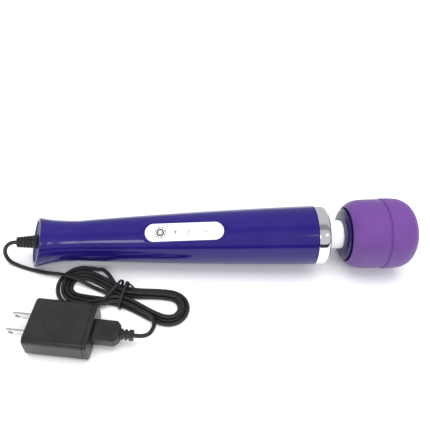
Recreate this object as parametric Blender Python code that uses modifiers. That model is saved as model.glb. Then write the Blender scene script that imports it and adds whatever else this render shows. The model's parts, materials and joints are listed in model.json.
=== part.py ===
"""Handheld wand massager: a rechargeable wand lying on a table, with its charging lead, hank and wall adapter.

Frame: +Z up, the table is Z = 0. The wand lies along X with its tail at -X and its head at +X, and the origin is
under the middle of the wand. The lead and the adapter lie on the -Y side.
Units: metres. Stations are counted along the wand from the charging jack's mouth, so a station is an X of the
wand's own frame. The lead and the adapter are laid out from the point of the table below station 0.
"""
import bpy
import bmesh
from math import atan, cos, pi, radians, sin
from mathutils import Matrix, Vector

# ---- driving dimensions -------------------------------------------------------------------------------------
HANDLE_LENGTH = 0.211        # station 0 to chrome ring
TAIL_RADIUS = 0.0191
TAIL_SLANT = 0.45            # the tail's end face leans back this much per height above the axis
TAIL_OVERHANG = 0.003        # and crosses the axis this far behind station 0
WAIST_RADIUS = 0.0155
WAIST_AT = 0.030             # station where the tail flare has run out
FLARE_POWER = 2.2            # how quickly the flare runs out
SHOULDER_RADIUS = 0.0232     # handle at the chrome ring
SWELL = 0.5                  # how far the cone bulges between waist and shoulder
SHELL_WALL = 0.0024
RING_LENGTH = 0.010
RING_OPENING = 0.014
NECK_LENGTH = 0.0126         # chrome ring to head cup
NECK_RADIUS = 0.0113
NECK_BORE = 0.0075
HEAD_LENGTH = 0.0594
HEAD_RADIUS = 0.028
SILICONE_WALL = 0.0026
DOME_WALL = 0.0020
CUP_RADIUS = 0.0194
SHAFT_RADIUS = 0.0020
WEIGHT_RADIUS = 0.0115
WEIGHT_LENGTH = 0.018

PANEL_AT = 0.1105            # station of the panel's middle
PANEL_LENGTH = 0.059
PANEL_WIDTH = 0.0138
PANEL_SINK = 0.00125         # panel face below the crown of the handle
PANEL_THICKNESS = 0.0019
KEY_RADIUS = 0.0034
POWER_KEY_RADIUS = 0.0043
KEY_HEIGHT = 0.0034
KEY_PROUD = 0.0003
KEY_TRAVEL = 0.0005
BOARD_THICKNESS = 0.0012
SWITCH_HEIGHT = 0.0022

CELL_RADIUS = 0.0091
CELL_LENGTH = 0.065
CELL_AT = 0.066              # station of the cell's negative end
CELL_DROP = 0.0024           # cell axis below the wand's axis
MOTOR_RADIUS = 0.0122
MOTOR_LENGTH = 0.033
MOTOR_SHAFT_RADIUS = 0.0015
MOUNT_THICKNESS = 0.003
SCREW_RADIUS = 0.0012
SCREW_HEAD_RADIUS = 0.0022

BARREL_RADIUS = 0.00275      # charging plug barrel
BARREL_BORE = 0.00135
BARREL_LENGTH = 0.0097
BOOT_LENGTH = 0.0165
BOOT_ROOT_RADIUS = 0.0052
BOOT_TIP_RADIUS = 0.0042
CORD_RADIUS = 0.0015
HANK_HEIGHT = 0.008
HANK_ROUNDING = 0.003
TIE_WIDTH = 0.003
TIE_THICKNESS = 0.0008

ADAPTER_LENGTH = 0.043
ADAPTER_WIDTH = 0.0355
ADAPTER_HEIGHT = 0.0195
ADAPTER_ROUNDING = 0.0045
ADAPTER_WALL = 0.002
PRONG_SPACING = 0.0127
PRONG_WIDTH = 0.00635
PRONG_THICKNESS = 0.0015
PRONG_LENGTH = 0.016
PRONG_HOLE_RADIUS = 0.0016
PRONG_HOLE_AT = 0.0119
ADAPTER_PRONG_FACE = (0.0051, -0.0664)    # middle of the prong face on the table, from below the tail
ADAPTER_TURN = radians(-8.0)
USB_SHELL = (0.012, 0.012, 0.0045)        # length out of the overmould, width, height
USB_BODY = (0.018, 0.016, 0.0082)
USB_RELIEF = (0.0092, 0.0062, 0.0056)

GAP = 0.0003                 # between pieces that touch
FIT = 0.0003                 # around pieces that slide or turn in one another
SPIN_GAP = 0.0012            # between the rigid lengths of the flexible drive
SEGMENTS = 28                # facets of the large round pieces
SMALL_SEGMENTS = 16
PANEL_ROLL = 2 * 2 * pi / SEGMENTS        # the wand lies rolled two facets towards -Y

# ---- stations and values that follow ------------------------------------------------------------------------
RING_END = HANDLE_LENGTH + RING_LENGTH
PIVOT_AT = RING_END + NECK_LENGTH / 2
CUP_AT = RING_END + NECK_LENGTH
WAND_LENGTH = CUP_AT + HEAD_LENGTH
MOTOR_FRONT = HANDLE_LENGTH - 0.008


def handle_radius(station):
    """Outer radius of the handle: a short flare at the tail, then a cone that bulges a little."""
    flare = min(1.0, max(0.0, WAIST_AT - station) / (WAIST_AT + TAIL_OVERHANG)) ** FLARE_POWER
    along = max(0.0, station - WAIST_AT) / (HANDLE_LENGTH - WAIST_AT)
    cone = along * (1.0 + SWELL * (1.0 - along))
    return WAIST_RADIUS + (TAIL_RADIUS - WAIST_RADIUS) * flare + (SHOULDER_RADIUS - WAIST_RADIUS) * cone


def tail_end(height):
    """Station where the leaning tail face lies at a height above the axis."""
    return TAIL_SLANT * height - TAIL_OVERHANG


def shell_bore(station):
    return handle_radius(station) - SHELL_WALL


def head_outline(groove):
    """Silicone outline as (station, radius): lip, rear swell, with or without the groove, front band and dome."""
    rear = [(0.095, 0.775), (0.128, 0.860), (0.172, 0.925), (0.228, 0.965), (0.460, 0.977)]
    front = [(0.520, 1.000), (0.690, 1.000), (0.790, 0.965), (0.870, 0.875), (0.935, 0.700), (0.980, 0.430),
             (1.000, 0.000)]
    shape = rear + ([(0.480, 0.950), (0.500, 0.950)] if groove else []) + front
    return [(CUP_AT + along * HEAD_LENGTH, across * HEAD_RADIUS) for along, across in shape]


HEAD_OUTLINE = head_outline(groove=True)
REST_STATION = tail_end(-TAIL_RADIUS * cos(PANEL_ROLL))       # where the tail's rim touches the table
TILT = max(atan((radius - TAIL_RADIUS) / (station - REST_STATION)) for station, radius in HEAD_OUTLINE)
AXIS_HEIGHT = TAIL_RADIUS * cos(TILT) - REST_STATION * sin(TILT)
TAIL_X = -(WAND_LENGTH + tail_end(-TAIL_RADIUS)) * cos(TILT) / 2
LEAD_ASIDE = max(0.0, 0.0194 - AXIS_HEIGHT)   # a lower wand pushes the lead and adapter aside
STEP = 0.001                                  # for the slope of the handle under the panel
SLOPE = atan((handle_radius(PANEL_AT + STEP) - handle_radius(PANEL_AT - STEP)) / (2 * STEP))

# ---- scene housekeeping -------------------------------------------------------------------------------------
for old in list(bpy.data.objects):
    bpy.data.objects.remove(old, do_unlink=True)
PARTS = bpy.data.collections.new("handheld_wand_massager")
CUTTERS = bpy.data.collections.new("cutters")
for group in (PARTS, CUTTERS):
    bpy.context.scene.collection.children.link(group)

LOOKS = {
    # name: (base colour, roughness, metallic)
    "violet_gloss": ((0.055, 0.020, 0.290), 0.12, 0.0),
    "dark_violet": ((0.030, 0.012, 0.130), 0.25, 0.0),
    "chrome": ((0.80, 0.80, 0.82), 0.05, 1.0),
    "white_soft": ((0.85, 0.85, 0.87), 0.35, 0.0),
    "grey_key": ((0.80, 0.80, 0.83), 0.35, 0.0),
    "silicone": ((0.190, 0.075, 0.390), 0.55, 0.0),
    "black_rubber": ((0.012, 0.012, 0.013), 0.45, 0.0),
    "black_satin": ((0.014, 0.014, 0.015), 0.35, 0.0),
    "white_plastic": ((0.75, 0.74, 0.70), 0.40, 0.0),
    "black_plastic": ((0.02, 0.02, 0.02), 0.40, 0.0),
    "board_green": ((0.02, 0.16, 0.05), 0.40, 0.0),
    "steel": ((0.55, 0.55, 0.56), 0.30, 1.0),
    "nickel": ((0.72, 0.71, 0.69), 0.20, 1.0),
    "brass": ((0.70, 0.48, 0.18), 0.30, 1.0),
    "magnet": ((0.10, 0.10, 0.11), 0.50, 0.5),
    "copper": ((0.70, 0.30, 0.15), 0.35, 1.0),
    "cell_wrap": ((0.05, 0.20, 0.45), 0.35, 0.2),
    "wire_red": ((0.55, 0.02, 0.02), 0.45, 0.0),
    "wire_black": ((0.02, 0.02, 0.02), 0.45, 0.0),
}


def make_look(name):
    colour, roughness, metallic = LOOKS[name]
    look = bpy.data.materials.new(name)
    look.use_nodes = True
    shader = look.node_tree.nodes["Principled BSDF"]
    shader.inputs["Base Color"].default_value = (*colour, 1.0)
    shader.inputs["Roughness"].default_value = roughness
    shader.inputs["Metallic"].default_value = metallic
    return look


def empty(name, parent, location, rotation=(0.0, 0.0, 0.0)):
    frame = bpy.data.objects.new(name, None)
    frame.parent = parent
    frame.location = location
    frame.rotation_euler = rotation
    PARTS.objects.link(frame)
    return frame


def place(name, data, look, parent, location=(0.0, 0.0, 0.0), rotation=(0.0, 0.0, 0.0)):
    """A mesh or curve becomes a named piece, or a cutter when it has no look."""
    piece = bpy.data.objects.new(name, data)
    piece.parent = parent
    piece.location = location
    piece.rotation_euler = rotation
    if look is None:
        CUTTERS.objects.link(piece)
        piece.hide_render = True
        piece.display_type = "WIRE"
    else:
        PARTS.objects.link(piece)
        data.materials.append(make_look(look))
    return piece


def cut(piece, cutter, operation="DIFFERENCE"):
    boolean = piece.modifiers.new(f"{operation.lower()}_{cutter.name}", "BOOLEAN")
    boolean.operation = operation
    boolean.object = cutter
    boolean.solver = "EXACT"


def bevel(piece, width, segments=2):
    edges = piece.modifiers.new("rounded_edges", "BEVEL")
    edges.width = width
    edges.segments = segments
    edges.limit_method = "ANGLE"
    edges.angle_limit = radians(40)


def turned(name, outer, inner, look, parent, segments=SEGMENTS, location=(0.0, 0.0, 0.0), roll=0.0):
    """Turned about the parent's X axis. Points are (station, radius), tail first; inner ones make the bore."""
    path = [(radius, station) for station, radius in reversed(outer)]
    path += [(radius, station) for station, radius in inner]
    mesh = bpy.data.meshes.new(name)
    edges = [(i, i + 1) for i in range(len(path) - 1)]
    if min(radius for radius, station in path) > 0:
        edges.append((len(path) - 1, 0))
    mesh.from_pydata([(radius, 0.0, station) for radius, station in path], edges, [])
    piece = place(name, mesh, look, parent, location, (-roll, pi / 2, 0.0))
    piece.rotation_mode = "ZYX"
    screw = piece.modifiers.new("turned", "SCREW")
    screw.steps = segments
    screw.render_steps = segments
    screw.use_merge_vertices = True
    screw.merge_threshold = 0.00001
    screw.use_smooth_shade = False
    return piece


def rod(name, start, end, radius, look, parent, segments=SMALL_SEGMENTS, location=(0.0, 0.0, 0.0), roll=0.0):
    outline = [(start, 0.0), (start, radius), (end, radius), (end, 0.0)]
    return turned(name, outline, [], look, parent, segments, location, roll)


def tube(name, start, end, radius, bore, look, parent, segments=SMALL_SEGMENTS, location=(0.0, 0.0, 0.0), roll=0.0):
    return turned(name, [(start, radius), (end, radius)], [(start, bore), (end, bore)], look, parent,
                  segments, location, roll)


def box(name, size, centre, look, parent, rotation=(0.0, 0.0, 0.0)):
    mesh = bpy.data.meshes.new(name)
    build = bmesh.new()
    bmesh.ops.create_cube(build, size=1.0)
    bmesh.ops.scale(build, vec=size, verts=build.verts)
    build.to_mesh(mesh)
    build.free()
    return place(name, mesh, look, parent, centre, rotation)


def cylinder(name, radius, low, high, spot, look, parent, segments=SMALL_SEGMENTS, rotation=(0.0, 0.0, 0.0)):
    """An upright cylinder of the parent's frame between two heights, at spot (x, y)."""
    mesh = bpy.data.meshes.new(name)
    build = bmesh.new()
    bmesh.ops.create_cone(build, cap_ends=True, segments=segments, radius1=radius, radius2=radius,
                          depth=high - low)
    build.to_mesh(mesh)
    build.free()
    return place(name, mesh, look, parent, (spot[0], spot[1], (low + high) / 2), rotation)


def prism(name, outlines, low, high, look, parent, location=(0.0, 0.0, 0.0), rotation=(0.0, 0.0, 0.0)):
    """A flat outline, with holes if there are more outlines, filled and extruded from low to high along Z."""
    flat = bpy.data.curves.new(name + "_outline", "CURVE")
    flat.dimensions = "2D"
    flat.fill_mode = "BOTH"
    flat.extrude = (high - low) / 2
    for outline in outlines:
        spline = flat.splines.new("POLY")
        spline.points.add(len(outline) - 1)
        for point, (x, y) in zip(spline.points, outline):
            point.co = (x, y, 0.0, 1.0)
        spline.use_cyclic_u = True
    carrier = bpy.data.objects.new(name + "_outline", flat)
    bpy.context.scene.collection.objects.link(carrier)
    bpy.context.view_layer.update()
    graph = bpy.context.evaluated_depsgraph_get()
    mesh = bpy.data.meshes.new_from_object(carrier.evaluated_get(graph))
    bpy.data.objects.remove(carrier, do_unlink=True)
    build = bmesh.new()
    build.from_mesh(mesh)
    bmesh.ops.remove_doubles(build, verts=build.verts, dist=0.000001)
    bmesh.ops.recalc_face_normals(build, faces=build.faces)
    if len(outlines) == 1:
        bmesh.ops.dissolve_limit(build, angle_limit=radians(1), verts=build.verts, edges=build.edges)
    bmesh.ops.translate(build, verts=build.verts, vec=(0.0, 0.0, (low + high) / 2))
    build.to_mesh(mesh)
    build.free()
    mesh.name = name
    return place(name, mesh, look, parent, location, rotation)


def rounded_rectangle(width, height, radius, steps=3, centre=(0.0, 0.0)):
    points = []
    corners = [(1, 1, 0.0), (-1, 1, pi / 2), (-1, -1, pi), (1, -1, 3 * pi / 2)]
    for side_x, side_y, start in corners:
        for i in range(steps + 1):
            angle = start + i * pi / 2 / steps
            points.append((centre[0] + side_x * (width / 2 - radius) + radius * cos(angle),
                           centre[1] + side_y * (height / 2 - radius) + radius * sin(angle)))
    return points


def stadium(length, width, steps=8):
    points = []
    for side, start in ((1, -pi / 2), (-1, pi / 2)):
        for i in range(steps + 1):
            angle = start + i * pi / steps
            points.append((side * (length - width) / 2 + width / 2 * cos(angle), width / 2 * sin(angle)))
    return points


def smooth(points, spacing, closed=False):
    """Catmull-Rom curve through the given points, sampled about every `spacing`."""
    knots = [Vector(point) for point in points]
    count = len(knots)
    spans = count if closed else count - 1
    result = []
    for i in range(spans):
        if closed:
            before, start, end, after = (knots[(i + k) % count] for k in (-1, 0, 1, 2))
        else:
            before, start, end, after = (knots[min(max(i + k, 0), count - 1)] for k in (-1, 0, 1, 2))
        steps = max(1, round((end - start).length / spacing))
        for k in range(steps):
            u = k / steps
            result.append(0.5 * (2 * start + (end - before) * u + (2 * before - 5 * start + 4 * end - after) * u * u
                                 + (3 * start - before - 3 * end + after) * u ** 3))
    if not closed:
        result.append(knots[-1])
    return result


def strand(name, points, radius, look, parent, resolution=2):
    """A round cord or wire along a polyline, with filled ends."""
    path = bpy.data.curves.new(name, "CURVE")
    path.dimensions = "3D"
    path.bevel_depth = radius
    path.bevel_resolution = resolution
    path.use_fill_caps = True
    spline = path.splines.new("POLY")
    spline.points.add(len(points) - 1)
    for point, position in zip(spline.points, points):
        point.co = (*position, 1.0)
    return place(name, path, look, parent)


# ---- frames -------------------------------------------------------------------------------------------------
WAND = empty("wand_axis", None, (TAIL_X, 0.0, AXIS_HEIGHT), (PANEL_ROLL, -TILT, 0.0))
NECK = empty("neck_pivot", WAND, (PIVOT_AT, 0.0, 0.0))
PANEL = empty("panel_plane", WAND, (PANEL_AT, 0.0, handle_radius(PANEL_AT) - PANEL_SINK), (0.0, -SLOPE, 0.0))
ADAPTER = empty("adapter_frame", None, (TAIL_X + ADAPTER_PRONG_FACE[0], ADAPTER_PRONG_FACE[1] - LEAD_ASIDE, 0.0),
                (0.0, 0.0, ADAPTER_TURN))
USB_HEIGHT = ADAPTER_HEIGHT / 2
KEYS = {"power_key": (-0.0180, POWER_KEY_RADIUS), "plus_key": (-0.0068, KEY_RADIUS),
        "minus_key": (0.0032, KEY_RADIUS), "pattern_key": (0.0152, KEY_RADIUS)}


def wand_point(station, side=0.0, height=0.0):
    """World position of a point of the wand's frame."""
    matrix = Matrix.Translation(WAND.location) @ WAND.rotation_euler.to_matrix().to_4x4()
    return matrix @ Vector((station, side, height))


def table_point(along, side, height=0.0):
    """World position of a point laid out from the table below station 0."""
    return Vector((TAIL_X + along, side - LEAD_ASIDE, height))


def lead_point(along, side, height):
    """A point of the lead behind the boot: high up it drops with the wand, on the table it is pushed aside."""
    share = min(1.0, height / AXIS_HEIGHT)
    return table_point(along, side + LEAD_ASIDE * share, height - LEAD_ASIDE * share)


def adapter_point(along, side=0.0, height=0.0):
    matrix = Matrix.Translation(ADAPTER.location) @ ADAPTER.rotation_euler.to_matrix().to_4x4()
    return matrix @ Vector((along, side, height))


# ---- handle -------------------------------------------------------------------------------------------------
SHELL_SCREWS = (0.050, 0.157)
BOSS_RADIUS = 0.0031
CAP_FRONT = 0.0075           # station of the tail cap's inner face
CAP_SEAT = 0.0085            # and of the end of its straight seat in the shells
CAP_RADIUS = TAIL_RADIUS - 0.0041
TAIL_BLANK = 2 * tail_end(-TAIL_RADIUS)   # pieces reach this far back before the leaning face is cut
JACK_RADIUS = BOOT_ROOT_RADIUS
JACK_LENGTH = 0.0125


def shell_outlines():
    flared = [-TAIL_OVERHANG, 0.001, 0.006, 0.012, 0.018, 0.024, WAIST_AT]
    steps = 6
    stations = flared + [WAIST_AT + (HANDLE_LENGTH - WAIST_AT) * i / steps for i in range(1, steps + 1)]
    outer = [(TAIL_BLANK, TAIL_RADIUS)] + [(station, handle_radius(station)) for station in stations]
    inner = [(TAIL_BLANK, CAP_RADIUS + FIT), (CAP_SEAT, CAP_RADIUS + FIT),
             (CAP_SEAT + 0.001, shell_bore(CAP_SEAT) - 0.0012)]
    inner += [(station, shell_bore(station)) for station in stations[4:]]
    return outer, inner


def cut_tail_face(piece):
    """The tail's leaning end face."""
    depth = 2 * TAIL_RADIUS
    lean = atan(TAIL_SLANT)
    behind = box(piece.name + "_tail_face", (depth, 2 * depth, 2 * depth),
                 (-TAIL_OVERHANG - depth / 2 * cos(lean), 0.0, depth / 2 * sin(lean)), None, WAND, (0.0, lean, 0.0))
    cut(piece, behind)


def half_shell(name, side):
    """One moulded half of the handle, with the screw bosses inside it. side is +1 above, -1 below."""
    outer, inner = shell_outlines()
    shell = turned(name, outer, inner, "violet_gloss", WAND)
    for number, station in enumerate(SHELL_SCREWS, 1):
        reach = side * (handle_radius(station) - SHELL_WALL / 2)
        low, high = sorted((side * GAP / 2, reach))
        boss = cylinder(f"{name}_boss_{number}", BOSS_RADIUS, low, high, (station, 0.0), None, WAND, 12)
        cut(shell, boss, "UNION")
    height = 2 * SHOULDER_RADIUS
    away = box(f"{name}_parting", (2 * HANDLE_LENGTH, 2 * height, height),
               (HANDLE_LENGTH / 2, 0.0, side * (GAP / 2 - height / 2)), None, WAND)
    cut(shell, away)
    cut_tail_face(shell)
    return shell


def make_shells():
    upper = half_shell("upper_shell", 1)
    lower = half_shell("lower_shell", -1)
    surround = prism("panel_surround", [stadium(PANEL_LENGTH + 0.006, PANEL_WIDTH + 0.004)],
                     -0.0002, 0.006, None, PANEL)
    slot = prism("panel_slot", [stadium(PANEL_LENGTH + 2 * GAP, PANEL_WIDTH + 2 * GAP)],
                 -0.006, 0.006, None, PANEL)
    cut(upper, surround)
    cut(upper, slot)
    for number, station in enumerate(SHELL_SCREWS, 1):
        radius = handle_radius(station)
        head_seat = -radius + 0.0030
        hole = cylinder(f"shell_hole_{number}", SCREW_RADIUS + FIT, head_seat - 0.001, 0.008,
                        (station, 0.0), None, WAND, 12)
        counterbore = cylinder(f"shell_counterbore_{number}", SCREW_HEAD_RADIUS + FIT, -radius - 0.001, head_seat,
                               (station, 0.0), None, WAND, 12)
        cut(upper, hole)
        cut(lower, hole)
        cut(lower, counterbore)
        make_screw(f"shell_screw_{number}", (station, 0.0, head_seat - GAP), (0.0, 0.0, 0.0), 0.007 - head_seat,
                   0.0012, WAND)


def make_screw(name, seat, rotation, length, head_height, parent):
    """A pan head screw: its head is below the seat, its shank runs up +Z for the given length."""
    mesh = bpy.data.meshes.new(name)
    outline = [(0.0, length), (SCREW_RADIUS, length), (SCREW_RADIUS, 0.0), (SCREW_HEAD_RADIUS, 0.0),
               (SCREW_HEAD_RADIUS, -head_height), (0.0, -head_height)]
    mesh.from_pydata([(radius, 0.0, height) for radius, height in outline],
                     [(i, i + 1) for i in range(len(outline) - 1)], [])
    piece = place(name, mesh, "steel", parent, seat, rotation)
    screw = piece.modifiers.new("turned", "SCREW")
    screw.steps = 12
    screw.render_steps = 12
    screw.use_merge_vertices = True
    screw.merge_threshold = 0.00001
    return piece


def make_ring():
    """Chrome end ring: straight skirt, rounded nose and a lip around the neck."""
    start = HANDLE_LENGTH + GAP
    radius = SHOULDER_RADIUS
    wall = 0.0022
    outer = [(start, radius), (start + 0.0012, radius + 0.00025), (RING_END - 0.0040, radius + 0.0001),
             (RING_END - 0.0018, radius - 0.0009), (RING_END - 0.0005, radius - 0.0022), (RING_END, radius - 0.0032)]
    inner = [(start, radius - wall), (RING_END - 0.0045, radius - wall), (RING_END - 0.0028, radius - 0.0045),
             (RING_END - 0.0028, RING_OPENING), (RING_END, RING_OPENING)]
    turned("chrome_ring", outer, inner, "chrome", WAND)


def make_tail():
    cap = tube("tail_cap", TAIL_BLANK, CAP_FRONT, CAP_RADIUS, JACK_RADIUS + GAP, "violet_gloss", WAND, SEGMENTS)
    cut_tail_face(cap)
    mouth = BARREL_RADIUS + FIT
    floor = BARREL_LENGTH + 0.0006
    turned("charge_jack", [(0.0005, JACK_RADIUS), (JACK_LENGTH, JACK_RADIUS)],
           [(0.0005, mouth), (floor, mouth), (floor, BARREL_BORE - FIT + GAP), (JACK_LENGTH, BARREL_BORE - FIT + GAP)],
           "black_plastic", WAND)
    rod("jack_pin", 0.003, JACK_LENGTH + 0.001, BARREL_BORE - FIT, "nickel", WAND, 12)


# ---- power and control --------------------------------------------------------------------------------------
BOARD_TOP = -(KEY_HEIGHT - KEY_PROUD) - KEY_TRAVEL - GAP - SWITCH_HEIGHT - GAP
BOARD_LENGTH = 0.068
BOARD_WIDTH = 0.0195


def make_control():
    panel = prism("control_panel", [stadium(PANEL_LENGTH, PANEL_WIDTH)], -PANEL_THICKNESS, 0.0, "white_soft", PANEL)
    for number, (name, (spot, radius)) in enumerate(KEYS.items(), 1):
        hole = cylinder(name + "_hole", radius + FIT, -2 * PANEL_THICKNESS, PANEL_THICKNESS, (spot, 0.0),
                        None, PANEL, 20)
        cut(panel, hole)
        cylinder(name, radius, KEY_PROUD - KEY_HEIGHT, KEY_PROUD, (spot, 0.0), "grey_key", PANEL, 20)
        top = KEY_PROUD - KEY_HEIGHT - KEY_TRAVEL - GAP
        switch = box(f"tact_switch_{number}", (0.006, 0.006, SWITCH_HEIGHT), (spot, 0.0, top - SWITCH_HEIGHT / 2),
                     "black_plastic", PANEL)
        bevel(switch, 0.0005, 1)
    box("main_board", (BOARD_LENGTH, BOARD_WIDTH, BOARD_THICKNESS), (0.0, 0.0, BOARD_TOP - BOARD_THICKNESS / 2),
        "board_green", PANEL)
    box("controller_chip", (0.007, 0.007, 0.0016), (0.026, 0.0, BOARD_TOP + GAP + 0.0008), "black_plastic", PANEL)


def make_battery():
    drop = (0.0, 0.0, -CELL_DROP)
    end = CELL_AT + CELL_LENGTH
    turned("battery_cell", [(CELL_AT, 0.0), (CELL_AT, CELL_RADIUS), (end - 0.001, CELL_RADIUS),
                            (end - 0.001, 0.003), (end, 0.003), (end, 0.0)], [], "cell_wrap", WAND, 20, drop)
    cradle = tube("battery_cradle", CELL_AT - 0.001, end + 0.001, CELL_RADIUS + GAP + 0.0014, CELL_RADIUS + GAP,
                  "white_plastic", WAND, 20, drop)
    open_top = box("cradle_opening", (2 * CELL_LENGTH, 4 * CELL_RADIUS, 2 * CELL_RADIUS),
                   (CELL_AT + CELL_LENGTH / 2, 0.0, CELL_RADIUS - CELL_DROP), None, WAND)
    cut(cradle, open_top)


def make_wires():
    """Cell to board and board to motor, with their ends a gap short of what they are soldered to."""
    board_under = handle_radius(PANEL_AT) - PANEL_SINK + BOARD_TOP - BOARD_THICKNESS
    front = PANEL_AT + BOARD_LENGTH / 2
    rear = PANEL_AT - BOARD_LENGTH / 2
    cell_front = CELL_AT + CELL_LENGTH
    bell = MOTOR_FRONT - MOTOR_LENGTH - 0.003
    routes = {
        "battery_wire_red": [(cell_front + 0.0005, 0.001, -CELL_DROP), (cell_front + 0.004, 0.002, 0.000),
                             (cell_front + 0.006, 0.003, 0.005), (cell_front + 0.0065, 0.003, board_under - 0.0006)],
        "battery_wire_black": [(CELL_AT - 0.0008, 0.001, -CELL_DROP), (CELL_AT - 0.0030, 0.004, 0.0005),
                               (CELL_AT - 0.0025, 0.0075, 0.0050), (CELL_AT + 0.004, 0.0085, 0.0060),
                               (rear + 0.005, 0.0080, board_under - 0.0024)],
        "motor_wire_red": [(front - 0.003, 0.006, board_under + 0.0002), (front + 0.005, 0.0075, board_under - 0.002),
                           (bell - 0.0030, 0.0075, 0.0060), (bell - 0.0006, 0.0070, 0.0050)],
        "motor_wire_black": [(front - 0.003, -0.006, board_under + 0.0002),
                             (front + 0.005, -0.0075, board_under - 0.002),
                             (bell - 0.0030, -0.0075, 0.0060), (bell - 0.0006, -0.0070, 0.0050)],
    }
    for name, points in routes.items():
        look = "wire_red" if name.endswith("red") else "wire_black"
        strand(name, smooth(points, 0.004), 0.0006, look, WAND, 1)


# ---- motor --------------------------------------------------------------------------------------------------
def make_motor():
    rear = MOTOR_FRONT - MOTOR_LENGTH
    wall = 0.001
    nose = 0.0028                # the can's front wall, which the screws bite into
    bore = MOTOR_SHAFT_RADIUS + FIT
    can = turned("motor_can", [(rear, MOTOR_RADIUS), (MOTOR_FRONT, MOTOR_RADIUS)],
                 [(rear, MOTOR_RADIUS - wall), (MOTOR_FRONT - nose, MOTOR_RADIUS - wall),
                  (MOTOR_FRONT - nose, bore), (MOTOR_FRONT, bore)], "steel", WAND, 24)
    tube("motor_end_bell", rear - GAP - 0.0024, rear - GAP, MOTOR_RADIUS, bore, "black_plastic", WAND, 24)
    magnet_radius = MOTOR_RADIUS - wall - GAP
    half = 2 * MOTOR_RADIUS
    for number, side in ((1, 1), (2, -1)):
        magnet = tube(f"motor_magnet_{number}", rear + 0.003, MOTOR_FRONT - nose - 0.003, magnet_radius,
                      magnet_radius - 0.0022, "magnet", WAND, 24)
        cut(magnet, box(f"magnet_split_{number}", (3 * MOTOR_LENGTH, 2 * half, half),
                        (MOTOR_FRONT, 0.0, side * (0.003 - half / 2)), None, WAND))
    tube("armature", rear + 0.004, MOTOR_FRONT - nose - 0.004, magnet_radius - 0.0022 - 0.0006,
         MOTOR_SHAFT_RADIUS + GAP, "copper", WAND, 20)
    coupling_rear = PIVOT_AT - COUPLING_LENGTH / 2
    rod("motor_shaft", rear - 0.004, coupling_rear - SPIN_GAP, MOTOR_SHAFT_RADIUS, "steel", WAND)
    start = MOTOR_FRONT + GAP
    mount_end = start + MOUNT_THICKNESS
    mount = tube("motor_mount", start, mount_end, shell_bore(start) - GAP, 0.004, "white_plastic", WAND, 24)
    for number, side in ((1, 1), (2, -1)):
        offset = side * 0.0075
        turn = (0.0, pi / 2, 0.0)
        hole = cylinder(f"motor_screw_hole_{number}", SCREW_RADIUS + FIT, -0.0022, MOUNT_THICKNESS + 0.001,
                        (0.0, 0.0), None, WAND, 12, turn)
        hole.location = (start + (MOUNT_THICKNESS + 0.001 - 0.0022) / 2, offset, 0.0)
        cut(can, hole)
        cut(mount, hole)
        make_screw(f"motor_screw_{number}", (mount_end + GAP, offset, 0.0), (0.0, -pi / 2, 0.0),
                   MOUNT_THICKNESS + GAP + 0.0016, 0.0014, WAND)


# ---- neck and head ------------------------------------------------------------------------------------------
COUPLING_LENGTH = 0.016
COUPLING_RADIUS = 0.0032
SLEEVE_REAR = NECK_LENGTH / 2 + 0.0047    # how far the sleeve reaches behind the pivot
SLEEVE_FRONT = NECK_LENGTH / 2 - 0.0007   # and ahead of it


def make_neck():
    tube("neck_sleeve", -SLEEVE_REAR, SLEEVE_FRONT, NECK_RADIUS, NECK_BORE, "white_soft", NECK, 24)
    tube("drive_coupling", -COUPLING_LENGTH / 2, COUPLING_LENGTH / 2, COUPLING_RADIUS, 0.0012, "black_rubber", NECK)


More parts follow.
